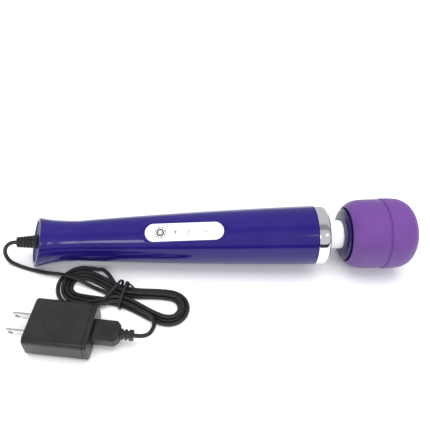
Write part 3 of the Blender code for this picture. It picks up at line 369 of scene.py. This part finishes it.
# the hank, along and across from the middle of its tie
FRONT_CENTRE, REAR_CENTRE = -0.033, 0.036
HUMP = [(-0.0490, 0.0040, 0.0048), (-0.0435, 0.0037, 0.0048), (-0.0385, 0.0033, 0.0046), (-0.0330, 0.0027, 0.0038),
        (-0.0275, 0.0020, 0.0026), (-0.0215, 0.0011, 0.0018), (-0.0140, 0.0000, ON_TABLE),
        (-0.0070, -0.0011, ON_TABLE)]
LEAVING = [(0.0090, -0.0071, 0.0047), (0.0190, -0.0098, 0.0047), (0.0262, -0.0120, 0.0048)]
RUNS = ((-0.5, 0), (0.5, 0), (-1.5, 0), (1.5, 0), (-2.5, 0), (2.5, 0), (-0.8, 1), (1.0, 1), (-2.0, 1))
FOLDS = ((2.45, 0), (2.45, 0), (3.45, 0), (3.45, 0), (4.45, 0), (4.45, 0), (3.0, 1), (5.65, 0))
CLIMB = 0.014                # length of cord that a change of layer takes, beside the turns
ASIDE = 0.008                # stays beside them for this long before it crosses


def eased(share):
    """Zero to one with level ends."""
    share = min(1.0, max(0.0, share))
    return share * share * (3 - 2 * share)


def half_run(run, fold, centre, side):
    """Knots from a fold's end at centre to the tie; run and fold are (pitches across, layer)."""
    across, layer = run
    width, fold_layer = fold
    wait = ASIDE if layer != fold_layer else 0.0
    climb = CLIMB if layer != fold_layer else abs(centre)
    for distance in (0.0, 0.005, 0.010, 0.015, 0.020, 0.026):
        share = eased((distance - wait) / (abs(centre) - wait))
        height = fold_layer + (layer - fold_layer) * eased(distance / climb)
        yield (centre - distance * (1 if centre > 0 else -1),
               CORD_PITCH * (side * width + (across - side * width) * share), ON_TABLE + CORD_PITCH * height)


def fold_knots(fold, centre, side, steps=6):
    """Knots of a half circle round the end of the hank, without its two ends."""
    width, layer = fold
    for step in range(1, steps):
        angle = pi * step / steps
        yield (centre + (1 if centre > 0 else -1) * CORD_PITCH * width * sin(angle),
               CORD_PITCH * side * width * cos(angle), ON_TABLE + CORD_PITCH * layer)


def hank_knots():
    """The wound part: out along one side, round a fold and back along the other."""
    knots = list(HUMP)
    for number, run in enumerate(RUNS):
        side = -1 if number % 2 == 0 else 1
        start, end = (FRONT_CENTRE, REAR_CENTRE) if number % 2 == 0 else (REAR_CENTRE, FRONT_CENTRE)
        if number > 0:
            knots += half_run(run, FOLDS[number - 1], start, side)
        knots.append((0.0, CORD_PITCH * run[0], ON_TABLE + CORD_PITCH * run[1]))
        if number < len(FOLDS):
            knots += reversed(list(half_run(run, FOLDS[number], end, side)))
            knots += fold_knots(FOLDS[number], end, side)
    return knots + LEAVING


def cord_knots():
    """Every knot of the cord in world places, from the boot to the USB plug."""
    hank = Matrix.Translation((*TIE_AT, 0.0)) @ Matrix.Rotation(TIE_TURN, 4, "Z")
    wound = [hank @ Vector(knot) for knot in hank_knots()]
    return [BELOW_TAIL @ Vector(knot) for knot in (*LEAD_ROUTE, *wound, *END_ROUTE)]


# ---- charging cord ------------------------------------------------------------------------------
def make_cord():
    """The whole cord: out of the boot, through the tied hank and into the USB plug."""
    curve = bpy.data.curves.new("charging_cord", "CURVE")
    curve.dimensions = "3D"
    spline = curve.splines.new("BEZIER")
    route = cord_knots()
    spline.bezier_points.add(len(route) - 1)
    for knot, point in zip(spline.bezier_points, route):
        knot.co = point
        knot.handle_left_type = knot.handle_right_type = "AUTO"
    spline.resolution_u = 5
    curve.bevel_depth = CORD_RADIUS
    curve.bevel_resolution = 5
    curve.use_fill_caps = True
    curve.materials.append(FINISHES["black_rubber"])
    cord = bpy.data.objects.new("charging_cord", curve)
    bpy.context.scene.collection.objects.link(cord)
    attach(cord, "charge_lead")
    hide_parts("cord_lead", "cord_hank", "cord_end")
    return cord


def make_boot():
    """Ribbed strain relief with a smooth nose against the tail."""
    nose, ribs, groove = 0.0046, 5, 0.0006
    tip = BOOT_FACE - BOOT_LENGTH
    pitch = (BOOT_LENGTH - nose) / ribs
    outline = [(tip, 0.0), (tip, CORD_RADIUS + 0.0003)]
    for rib in range(ribs):
        start = tip + rib * pitch
        radius = 0.0041 + 0.00018 * rib
        core = radius - groove
        outline += [(start, radius - 0.00025), (start + 0.00025, radius), (start + 0.58 * pitch, radius),
                    (start + 0.58 * pitch + 0.0002, radius - 0.0002), (start + 0.58 * pitch + 0.0002, core),
                    (start + 0.96 * pitch, core)]
    outline += [(BOOT_FACE - nose, 0.0049), (BOOT_FACE - nose + 0.0003, 0.0052), (BOOT_FACE - 0.0012, 0.0052),
                (BOOT_FACE - 0.0003, 0.0046), (BOOT_FACE, 0.0042), (BOOT_FACE, 0.0)]
    return piece("lead_boot", turned(outline, 64), "charge_lead", "black_rubber", ["plug_boot"], WAND)


def make_tie():
    """Two wraps of a flat twist tie, one straight and one slanting, with its twisted ends."""
    across, height, thick, width = 0.0213, 0.0067, 0.0007, 0.0020

    def wrap(slant, shift, middle, reach):
        bm = bmesh.new()
        bmesh.ops.create_grid(bm, x_segments=1, y_segments=1, size=0.5)
        bmesh.ops.scale(bm, verts=bm.verts, vec=(reach, height, 1))
        bmesh.ops.bevel(bm, geom=bm.verts[:], offset=0.0024, segments=6, profile=0.5, affect="VERTICES", material=-1)
        rim = [edge for edge in bm.edges if edge.is_boundary]
        bmesh.ops.delete(bm, geom=bm.faces[:], context="FACES_ONLY")
        risen = bmesh.ops.extrude_edge_only(bm, edges=rim)["geom"]
        bmesh.ops.translate(bm, verts=[v for v in risen if isinstance(v, bmesh.types.BMVert)], vec=(0, 0, width))
        bmesh.ops.recalc_face_normals(bm, faces=bm.faces)
        bmesh.ops.solidify(bm, geom=bm.faces[:], thickness=-thick)
        bmesh.ops.recalc_face_normals(bm, faces=bm.faces)
        soften(bm, 0.0002, 2, angle=60.0)
        bm.transform(Matrix.Translation((0, 0, -width / 2)))
        bm.transform(Matrix(((1, 0, 0, 0), (0, 1, 0, 0), (slant, 0, 1, 0), (0, 0, 0, 1))))
        stand = Matrix(((0, 0, 1, 0), (1, 0, 0, 0), (0, 1, 0, 0), (0, 0, 0, 1)))
        bm.transform(BELOW_TAIL @ Matrix.Translation((*middle, height / 2 + 0.0006)) @ Matrix.Rotation(TIE_TURN, 4, "Z")
                     @ Matrix.Translation((shift, 0, 0)) @ stand)
        return bm

    bands = joined([wrap(-0.06, 0.0006, TIE_AT, across), wrap(0.30, -0.0078, TIE_AT, across + 0.0006)])
    tie = piece("twist_tie_band", bands, "charge_lead", "black_plastic", ["twist_tie"])
    ends = bpy.data.curves.new("twist_tie_ends", "CURVE")
    ends.dimensions = "3D"
    start = BELOW_TAIL @ Vector((*TIE_AT, 0.0064)) + Vector((-sin(TIE_TURN), cos(TIE_TURN), 0.0)) * 0.0102
    reach = Vector((cos(TIE_TURN - 0.5), sin(TIE_TURN - 0.5), 0.0))
    beside = Vector((-reach.y, reach.x, 0.0))
    for strand in (0.0, pi):
        spline = ends.splines.new("NURBS")
        spline.points.add(16)
        for number, knot in enumerate(spline.points):
            turn = strand + number * 1.1
            ring = (beside * cos(turn) + Vector((0, 0, 1)) * sin(turn)) * 0.00045
            knot.co = (*(start + reach * (number * 0.00045) + ring), 1.0)
        spline.order_u = 3
        spline.use_endpoint_u = True
    ends.bevel_depth = 0.00042
    ends.bevel_resolution = 3
    ends.use_fill_caps = True
    ends.materials.append(FINISHES["black_plastic"])
    twisted = bpy.data.objects.new("twist_tie_ends", ends)
    bpy.context.scene.collection.objects.link(twisted)
    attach(twisted, "charge_lead")
    return [tie, twisted]


def make_usb_plug():
    """Overmoulded plug with chamfered rear corners, and its notched strain relief."""
    length, width, height = USB_BODY
    side, slim = width / 2, 0.0048
    body = slab([(0.0, -side), (length - 0.0030, -side), (length, -slim), (length, slim), (length - 0.0030, side),
                 (0.0, side)], -height / 2, height / 2)
    soften(body, 0.0009, 4, lambda edge: max(v.co.x for v in edge.verts) > 0.001)
    plug = piece("usb_plug_body", body, None, "black_rubber", (), None)
    relief_length, relief_width, relief_height = USB_RELIEF
    relief = block((relief_length + 0.002, relief_width, relief_height), (length + relief_length / 2 - 0.001, 0, 0))
    soften(relief, 0.0006, 3)
    neck = piece("usb_relief", relief, None, "black_rubber")
    notches = []
    for along in (0.0024, 0.0054):
        for way in (-1, 1):
            slot = soften(block((0.0014, 0.0036, 2 * relief_height), (length + along, way * (relief_width / 2 + 0.0004), 0)),
                          0.0003, 2)
            notches.append(piece("relief_notch", slot, None, "black_rubber"))
    carve(neck, notches)
    carve(plug, [neck], "UNION")
    thumb = bmesh.new()
    bmesh.ops.create_uvsphere(thumb, u_segments=48, v_segments=24, radius=1.0)
    bmesh.ops.scale(thumb, verts=thumb.verts, vec=(0.0048, 0.0042, 0.0006))
    bmesh.ops.translate(thumb, verts=thumb.verts, vec=(0.0085, 0, height / 2 + 0.0001))
    carve(plug, [piece("thumb_dip", thumb, None, "black_rubber")])
    plug.data.transform(ADAPTER_PLACE @ Matrix.Translation((USB_START, 0.0, ADAPTER_HEIGHT / 2)))
    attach(plug, "charge_lead")
    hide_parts("usb_boot")
    return plug


# ---- wall adapter -------------------------------------------------------------------------------
def make_adapter():
    case = block((ADAPTER_LENGTH, ADAPTER_WIDTH, ADAPTER_HEIGHT), (ADAPTER_LENGTH / 2, 0, ADAPTER_HEIGHT / 2))
    soften(case, ADAPTER_ROUNDING, 10, lambda edge: abs(edge.verts[0].co.x - edge.verts[1].co.x) > 0.01)
    soften(case, 0.0011, 4, lambda edge: abs(edge.verts[0].co.x - edge.verts[1].co.x) < 1e-6, 60.0)
    seam = ADAPTER_LENGTH - 0.0030
    for station in (seam - 0.00022, seam, seam + 0.00022):
        bmesh.ops.bisect_plane(case, geom=case.verts[:] + case.edges[:] + case.faces[:], dist=1e-7,
                               plane_co=(station, 0, 0), plane_no=(1, 0, 0))
    middle = Vector((seam, 0.0, ADAPTER_HEIGHT / 2))
    sunk = [v for v in case.verts if abs(v.co.x - seam) < 1e-6]
    bmesh.ops.scale(case, verts=sunk, vec=(1, 1 - 0.0007 / ADAPTER_WIDTH, 1 - 0.0007 / ADAPTER_HEIGHT),
                    space=Matrix.Translation(-middle))
    shell = piece("adapter_shell", closed(case), None, "black_satin")
    dish = turned([(-0.0006, 0.0), (-0.0006, 0.0098), (-0.00048, 0.0106), (-0.0002, 0.0111), (0.0, 0.0113),
                   (0.001, 0.0114), (0.001, 0.0)], 96)
    dish.transform(Matrix.Translation((ADAPTER_LENGTH * 0.5, 0, ADAPTER_HEIGHT)) @ Matrix.Rotation(-pi / 2, 4, "Y"))
    port = block((0.030, 0.0127, 0.0052), (ADAPTER_LENGTH - 0.0130, 0, ADAPTER_HEIGHT / 2))
    plate_seat = block((0.004, 0.0300, 0.0140), (0.0, 0, ADAPTER_HEIGHT / 2))
    soften(plate_seat, 0.0022, 6, lambda edge: abs(edge.verts[0].co.x - edge.verts[1].co.x) > 0.001)
    carve(shell, [piece("cutter", cutter, None, "black_satin") for cutter in (dish, port, plate_seat)])
    shell.data.transform(ADAPTER_PLACE)
    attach(shell, "wall_adapter")
    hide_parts("adapter_case")

    plate = block((0.0021, 0.0298, 0.0138), (0.00105, 0, ADAPTER_HEIGHT / 2))
    soften(plate, 0.0021, 6, lambda edge: abs(edge.verts[0].co.x - edge.verts[1].co.x) > 0.001)
    soften(plate, 0.00025, 2, lambda edge: max(v.co.x for v in edge.verts) < 1e-6, 60.0)
    face = piece("blade_plate", plate, None, "black_satin")
    slots = [block((0.01, BLADE_THICKNESS + 0.0003, BLADE_WIDTH + 0.0003), (0, way * BLADE_SPACING / 2, ADAPTER_HEIGHT / 2))
             for way in (-1, 1)]
    carve(face, [piece("cutter", cutter, None, "black_satin") for cutter in slots])
    face.data.transform(ADAPTER_PLACE)
    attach(face, "wall_adapter")
    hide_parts("prong_plate")

    for number, way in ((1, 1), (2, -1)):
        half, point, root = BLADE_WIDTH / 2, 0.0016, 0.0058
        blade = slab([(root, -half), (root, half), (-BLADE_LENGTH + point, half), (-BLADE_LENGTH, half - point),
                      (-BLADE_LENGTH, -half + point), (-BLADE_LENGTH + point, -half)],
                     -BLADE_THICKNESS / 2, BLADE_THICKNESS / 2)
        soften(blade, 0.0003, 3)
        made = piece(f"blade_{number}", blade, None, "nickel")
        hole = turned([(-0.002, 0.0), (-0.002, BLADE_HOLE_RADIUS + 0.0005), (-BLADE_THICKNESS / 2, BLADE_HOLE_RADIUS + 0.0001),
                       (-BLADE_THICKNESS / 2 + 0.0002, BLADE_HOLE_RADIUS), (BLADE_THICKNESS / 2 - 0.0002, BLADE_HOLE_RADIUS),
                       (BLADE_THICKNESS / 2, BLADE_HOLE_RADIUS + 0.0001), (0.002, BLADE_HOLE_RADIUS + 0.0005), (0.002, 0.0)],
                      40)
        hole.transform(Matrix.Translation((-BLADE_HOLE_AT, 0, 0)) @ Matrix.Rotation(-pi / 2, 4, "Y"))
        carve(made, [piece("cutter", hole, None, "nickel")])
        made.data.transform(ADAPTER_PLACE @ Matrix.Translation((0, way * BLADE_SPACING / 2, ADAPTER_HEIGHT / 2))
                            @ Matrix.Rotation(pi / 2, 4, "X"))
        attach(made, "wall_adapter")
        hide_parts(f"prong_{number}")


# ---- handle -------------------------------------------------------------------------------------
def handle_radius(station):
    flare = min(1.0, max(0.0, WAIST_AT - station) / (WAIST_AT + TAIL_OVERHANG)) ** FLARE_POWER
    along = max(0.0, station - WAIST_AT) / (HANDLE_LENGTH - WAIST_AT)
    cone = along * (1 + SWELL * (1 - along))
    return WAIST_RADIUS + (TAIL_RADIUS - WAIST_RADIUS) * flare + (SHOULDER_RADIUS - WAIST_RADIUS) * cone


def lean_tail(bm):
    """Leans the tail's end face back towards the underside, and keeps the skin on the flare."""
    for v in bm.verts:
        fade = max(0.0, 1 - max(v.co.x, 0.0) / TAIL_BLEND) ** 2
        shift = (TAIL_SLANT * v.co.z - TAIL_OVERHANG) * fade
        radius = v.co.yz.length
        if radius > CAP_RADIUS + 0.0006:
            wider = 1 + (handle_radius(v.co.x + shift) - handle_radius(v.co.x)) / radius
            v.co.y *= wider
            v.co.z *= wider
            shift = (TAIL_SLANT * v.co.z - TAIL_OVERHANG) * fade
        v.co.x += shift
    return bm


def stations(ranges):
    """Stations along the handle: (from, to, spacing) for each stretch."""
    return [start + (stop - start) * i / max(1, round((stop - start) / spacing))
            for start, stop, spacing in ranges for i in range(max(1, round((stop - start) / spacing)))]


def shell_outline(ranges):
    lip = handle_radius(TAIL_LIP)
    outer = arc((TAIL_LIP, lip - TAIL_LIP), TAIL_LIP, 180, 90, 8)
    outer += [(station, handle_radius(station)) for station in stations(ranges)]
    outer += [(HANDLE_LENGTH - 0.0002, SHOULDER_RADIUS), (HANDLE_LENGTH, SHOULDER_RADIUS - 0.0002)]
    inner = [(HANDLE_LENGTH, SHOULDER_RADIUS - SHELL_WALL)]
    inner += [(station, handle_radius(station) - SHELL_WALL) for station in (0.150, 0.090, 0.030, 0.012, 0.004)]
    inner += [(0.0034, CAP_RADIUS - 0.0006), (0.0034, CAP_RADIUS + 0.0002), (0.0, CAP_RADIUS + 0.0002)]
    return outer + inner


def dish_for_panel(bm):
    """Sinks the crown round the panel's ends into a smooth dish level with the panel."""
    to_panel = PANEL_SPOT.inverted()
    straight = (PANEL_LENGTH - PANEL_WIDTH) / 2
    for v in bm.verts:
        if abs(v.co.x - PANEL_AT) > 0.040 or v.co.yz.length < handle_radius(v.co.x) - 0.0004 or v.co.z < 0.010:
            continue
        spot = to_panel @ v.co
        away = hypot(max(abs(spot.x) - straight, 0.0), spot.y) - PANEL_WIDTH / 2
        rise = max(0.0, away - DISH_FLAT)
        ceiling = DISH_DEPTH + rise * rise / (2 * DISH_SWEEP)
        blend = 0.00018
        gap = max(blend - abs(ceiling - spot.z), 0.0) / blend
        spot.z = min(ceiling, spot.z) - gap * gap * blend / 4
        v.co = PANEL_SPOT @ spot


DISH_FLAT = 0.0006
DISH_DEPTH = -0.0002
DISH_SWEEP = 0.0022


def parting_edge(edge):
    """An edge of the outer skin along the shell's parting."""
    low, high = edge.verts
    return abs(low.co.x - high.co.x) > 0.0001 and min(v.co.yz.length - handle_radius(v.co.x) for v in (low, high)) > -0.0003 \
        and max(abs(v.co.z) for v in (low, high)) < 0.0005 and min(low.co.x, high.co.x) > TAIL_LIP - 1e-6


def make_handle():
    upper = half_turned(shell_outline([(0.0024, 0.074, 0.003), (0.074, 0.0875, 0.0005), (0.0875, 0.1335, 0.0015),
                                       (0.1335, 0.1465, 0.0005), (0.1465, 0.210, 0.003)]), -pi / 2)
    dish_for_panel(upper)
    soften(upper, 0.00016, 2, parting_edge, 45.0)
    lean_tail(upper)
    case = piece("upper_case", upper, "handle", "violet_gloss", ["upper_shell"])
    slot = slab(stadium(PANEL_LENGTH + 0.0003, PANEL_WIDTH + 0.0003, 32), -0.0075, 0.004)
    carve(case, [piece("cutter", slot, None, "violet_gloss", (), PANEL_SPOT)])
    case.data.transform(WAND)
    lower = half_turned(shell_outline([(0.0024, 0.210, 0.003)]), pi / 2)
    soften(lower, 0.00016, 2, parting_edge, 45.0)
    lean_tail(lower)
    base = piece("lower_case", lower, "handle", "violet_gloss", ["lower_shell"])
    wells = []
    for station in SHELL_SCREWS:
        skin = handle_radius(station)
        wells.append(piece("cutter", peg(0.0026, -skin - 0.003, -skin + 0.0029, (station, 0.0), 48), None, "violet_gloss"))
    carve(base, wells)
    base.data.transform(WAND)

    wall, nose = 0.0022, 0.0036
    start, top = RING_START, SHOULDER_RADIUS + 0.00025
    rounded = [(RING_END - nose + nose * sin(radians(a)), top - 0.0034 + 0.0034 * cos(radians(a))) for a in range(0, 91, 9)]
    ring = [(start, top - 0.0008), (start + 0.0002, top - 0.0002), (start + 0.0006, top)] + rounded \
        + [(RING_END, RING_OPENING + 0.0009)] + arc((RING_END - 0.0007, RING_OPENING + 0.0007), 0.0007, 0, -90, 5) \
        + [(RING_END - 0.0028, RING_OPENING), (RING_END - 0.0028, top - 0.0050), (RING_END - 0.0050, top - wall - 0.0002),
           (start, top - wall - 0.0002)]
    piece("end_ring", turned(ring, 160), "handle", "chrome", ["chrome_ring"], WAND)

    cap = [(0.0033, 0.0055), (0.0012, 0.0055), (0.0007, 0.0057), (0.0006, 0.0061), (0.0006, CAP_RADIUS - 0.0004),
           (0.0009, CAP_RADIUS), (0.0033, CAP_RADIUS)]
    plate = piece("tail_plate", lean_tail(turned(cap, 128)), "handle", "violet_gloss", ["tail_cap"], WAND)
    plate.data.materials[0] = FINISHES["violet_satin"]


# ---- control panel ------------------------------------------------------------------------------
def make_panel():
    plate = slab(stadium(PANEL_LENGTH, PANEL_WIDTH, 32), -PANEL_THICKNESS, 0.00005)
    soften(plate, 0.00035, 4, lambda edge: min(v.co.z for v in edge.verts) > 0.0, 45.0)
    panel = piece("panel_plate", plate, "handle", "white_soft", ["control_panel"])
    carve(panel, [piece("cutter", peg(radius + 0.00012, -0.004, 0.002, (spot, 0.0), 64), None, "white_soft")
                  for spot, radius in KEY_SPOTS.values()])
    panel.data.transform(PANEL)


def band(radius, width, start=0.0, stop=360.0, steps=64):
    """A flat raised mark along an arc, made by spinning its section."""
    bm = bmesh.new()
    full = stop - start >= 360.0
    section = [(radius - width / 2, 0), (radius + width / 2, 0), (radius + width / 2, MARK_THICKNESS),
               (radius - width / 2, MARK_THICKNESS)]
    corners, edges = outline_loop(bm, [(x, 0.0, z) for x, z in section])
    geom = corners + edges if full else corners + edges + [bm.faces.new(corners)]
    bmesh.ops.rotate(bm, verts=corners, cent=(0, 0, 0), matrix=Matrix.Rotation(radians(start), 3, "Z"))
    bmesh.ops.spin(bm, geom=geom, cent=(0, 0, 0), axis=(0, 0, 1), angle=radians(stop - start), steps=steps,
                   use_merge=full)
    return closed(bm)


def bar(length, width, turn=0.0, at=(0.0, 0.0)):
    bm = slab(stadium(length, width, 6), 0.0, MARK_THICKNESS)
    bm.transform(Matrix.Translation((*at, 0.0)) @ Matrix.Rotation(radians(turn), 4, "Z"))
    return bm


def make_keys():
    """Round keys with their generic signs: power, plus, minus and a wave."""
    signs = {
        "power_key": ("mark_dark", [band(0.00235, 0.00110)] + [band(0.00385, 0.00050, a, a + 34, 10)
                                                               for a in range(0, 360, 45)]
                      + [band(0.00110, 0.00040, 40, 320, 24), bar(0.0013, 0.00040, 0.0, (0.00090, 0.0))]),
        "plus_key": ("mark_grey", [bar(0.0034, 0.00075), bar(0.0034, 0.00075, 90.0)]),
        "minus_key": ("mark_grey", [bar(0.0034, 0.00075, 90.0)]),
        "pattern_key": ("mark_grey", [band(0.0010, 0.00060, 0, 180, 16), band(0.0010, 0.00060, 180, 360, 16)]),
    }
    signs["pattern_key"][1][0].transform(Matrix.Translation((-0.0010, 0, 0)))
    signs["pattern_key"][1][1].transform(Matrix.Translation((0.0010, 0, 0)))
    for name, (spot, radius) in KEY_SPOTS.items():
        body = name.replace("_key", "_button")
        top = 0.00008
        outline = [(-KEY_HEIGHT, 0.0), (-KEY_HEIGHT, radius - 0.0002), (-KEY_HEIGHT + 0.0002, radius)] \
            + arc((top - 0.00025, radius - 0.00025), 0.00025, 90, 0, 4) + [(top + 0.00004, radius * 0.6), (top + 0.00006, 0.0)]
        key = turned(outline, 64)
        stand = Matrix.Translation((spot, 0, 0)) @ Matrix.Rotation(-pi / 2, 4, "Y")
        piece(name.replace("_key", "_push_key"), key, body, "grey_key", [name], PANEL @ stand)
        look, parts = signs[name]
        piece(name.replace("_key", "_sign"), joined(parts), body, look, (),
              PANEL @ Matrix.Translation((spot, 0, top + 0.00003)), 30.0)


# ---- neck and head ------------------------------------------------------------------------------
def make_neck():
    """The soft sleeve in two lengths that meet at the pivot."""
    def sleeve(start, stop, count):
        rows = [(start + (stop - start) * i / count, NECK_RADIUS) for i in range(count + 1)]
        return turned(rows + [(stop, NECK_BORE), (start, NECK_BORE)], 128)

    rear = piece("neck_sleeve_rear", sleeve(PIVOT_AT - NECK_REAR, PIVOT_AT, 14), None, "white_soft", ["neck_sleeve"], WAND)
    front = piece("neck_sleeve_front", sleeve(PIVOT_AT, PIVOT_AT + NECK_FRONT + 0.0040, 14), None, "white_soft", (), WAND)
    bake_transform(rear)
    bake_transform(front)


def smooth_outline(points, steps=4):
    """A rounder outline through the same points."""
    out = []
    for i in range(len(points) - 1):
        before, here, there, after = (Vector(points[max(0, min(len(points) - 1, i + k))]) for k in (-1, 0, 1, 2))
        for k in range(steps):
            t = k / steps
            out.append(tuple(0.5 * (2 * here + (there - before) * t + (2 * before - 5 * here + 4 * there - after) * t * t
                                    + (3 * here - before - 3 * there + after) * t ** 3)))
    return out + [tuple(points[-1])]


def make_head():
    cup = [(CUP_AT + 0.0002, NECK_RADIUS + 0.0007), (CUP_AT, NECK_RADIUS + 0.0012), (CUP_AT + 0.0004, 0.0135),
           (CUP_AT + 0.0002, 0.0152), (CUP_AT + 0.0007, 0.0172), (CUP_AT + 0.0017, 0.0193), (CUP_AT + 0.0027, 0.0203),
           (CUP_AT + 0.0038, CUP_RADIUS), (CUP_AT + CUP_LENGTH, CUP_RADIUS), (CUP_AT + CUP_LENGTH, CUP_RADIUS - 0.0022),
           (CUP_AT + 0.0062, CUP_RADIUS - 0.0022), (CUP_AT + 0.0050, 0.0150), (CUP_AT + 0.0050, NECK_RADIUS + 0.0007)]
    piece("head_collar", turned(cup, 128), "head", "dark_violet", ["head_cup"], WAND)

    def at(along, across):
        return CUP_AT + along * HEAD_LENGTH, across * HEAD_RADIUS

    rear = smooth_outline([at(*spot) for spot in ((0.068, 0.757), (0.066, 0.775), (0.074, 0.800), (0.105, 0.858),
                                                  (0.155, 0.921), (0.220, 0.960), (0.330, 0.975), (0.495, 0.979))])
    step = [at(*spot) for spot in ((0.508, 0.977), (0.515, 0.970), (0.519, 0.956), (0.527, 0.951), (0.535, 0.953),
                                   (0.539, 0.966), (0.542, 0.985), (0.549, 0.995))]
    front = smooth_outline([at(*spot) for spot in ((0.560, 0.999), (0.590, 1.0), (0.640, 1.0), (0.652, 0.999))], 3)
    ridge = [at(*spot) for spot in ((0.658, 0.992), (0.664, 0.9905), (0.670, 0.994))]
    dome = smooth_outline([at(*spot) for spot in ((0.680, 0.9945), (0.730, 0.986), (0.790, 0.962), (0.870, 0.874),
                                                  (0.935, 0.705), (0.980, 0.430), (0.996, 0.200), (1.0, 0.0))], 6)
    skin = rear + step + front + ridge + dome
    lining = [(CUP_AT + CUP_LENGTH + 0.0003, CUP_RADIUS + 0.0003), at(0.069, 0.752)]
    inner = [(WAND_LENGTH - SILICONE_WALL, 0.0), (WAND_LENGTH - SILICONE_WALL - 0.0012, 0.0110),
             (CUP_AT + 0.930 * HEAD_LENGTH - SILICONE_WALL, 0.0180), (CUP_AT + 0.84 * HEAD_LENGTH - SILICONE_WALL, 0.0225),
             (CUP_AT + 0.70 * HEAD_LENGTH, 0.0252), (CUP_AT + 0.40 * HEAD_LENGTH, 0.0248),
             (CUP_AT + CUP_LENGTH + 0.0003, 0.0240)]
    piece("soft_head", turned(skin + inner + lining, 192), "head", "silicone", ["silicone_cover"], WAND, 50.0)


# ---- floor and light ----------------------------------------------------------------------------
def make_studio():
    floor = block((6.0, 6.0, 0.02), (0.0, 0.0, -0.0101))
    made = piece("studio_floor", floor, None, "studio_floor")
    world = bpy.data.worlds.new("studio")
    bpy.context.scene.world = world
    world.use_nodes = True
    nodes, links = world.node_tree.nodes, world.node_tree.links
    backdrop = nodes["Background"]
    backdrop.inputs["Strength"].default_value = 1.0
    split = nodes.new("ShaderNodeSeparateXYZ")
    links.new(nodes.new("ShaderNodeTexCoord").outputs["Generated"], split.inputs["Vector"])
    front = nodes.new("ShaderNodeMath")
    front.operation = "MULTIPLY"
    front.inputs[1].default_value = -1.0
    links.new(split.outputs["Y"], front.inputs[0])
    angle = nodes.new("ShaderNodeMath")
    angle.operation = "ARCTAN2"
    links.new(split.outputs["Z"], angle.inputs[0])
    links.new(front.outputs["Value"], angle.inputs[1])
    share = nodes.new("ShaderNodeMath")
    share.operation = "DIVIDE"
    share.inputs[1].default_value = pi
    links.new(angle.outputs["Value"], share.inputs[0])
    ramp = nodes.new("ShaderNodeValToRGB")
    links.new(share.outputs["Value"], ramp.inputs["Fac"])
    links.new(ramp.outputs["Color"], backdrop.inputs["Color"])
    steps = ramp.color_ramp.elements
    for number, (spot, level) in enumerate(BACKDROP):
        step = steps[number] if number < 2 else steps.new(spot)
        step.position = spot
        step.color = (level, level * 1.01, level * 1.04, 1.0)
    for name, spot, size, power, target, mirrored in LIGHTS:
        lamp = bpy.data.lights.new(name, "AREA")
        lamp.shape = "RECTANGLE"
        lamp.size, lamp.size_y = size
        lamp.energy = power
        stand = bpy.data.objects.new(name, lamp)
        stand.location = spot
        stand.visible_glossy = mirrored
        stand.rotation_euler = (Vector(target) - Vector(spot)).to_track_quat("-Z", "Y").to_euler()
        bpy.context.scene.collection.objects.link(stand)
    view = bpy.context.scene.view_settings
    view.view_transform = "Standard"


FINISHES["studio_floor"] = finish("studio_floor", (0.90, 0.905, 0.91), (0.91, 0.915, 0.92), (0.55, 0.62), 3.0)
# Backdrop brightness from the front horizon (0) over the top to the back horizon (1).
BACKDROP = ((0.0, 0.04), (1.0, 0.62), (0.055, 0.05), (0.085, 0.72), (0.35, 0.62), (0.39, 0.30), (0.46, 0.30),
            (0.52, 0.60))
LIGHTS = (("key_softbox", (0.00, 0.10, 1.30), (1.5, 1.1), 19.0, (0.0, 0.0, 0.0), False),
          ("fill_softbox", (0.10, -0.95, 0.95), (1.2, 0.8), 6.0, (0.0, 0.0, 0.0), False),
          ("left_window", (-0.40, -0.86, 0.74), (0.26, 0.20), 1.1, (-0.10, 0.0, 0.03), True),
          ("right_window", (0.43, -0.80, 0.92), (0.26, 0.14), 0.30, (0.08, 0.0, 0.03), True))

cord = make_cord()
boot = make_boot()
tie = make_tie()
plug = make_usb_plug()
make_adapter()
make_handle()
make_panel()
make_keys()
make_neck()
make_head()
make_studio()
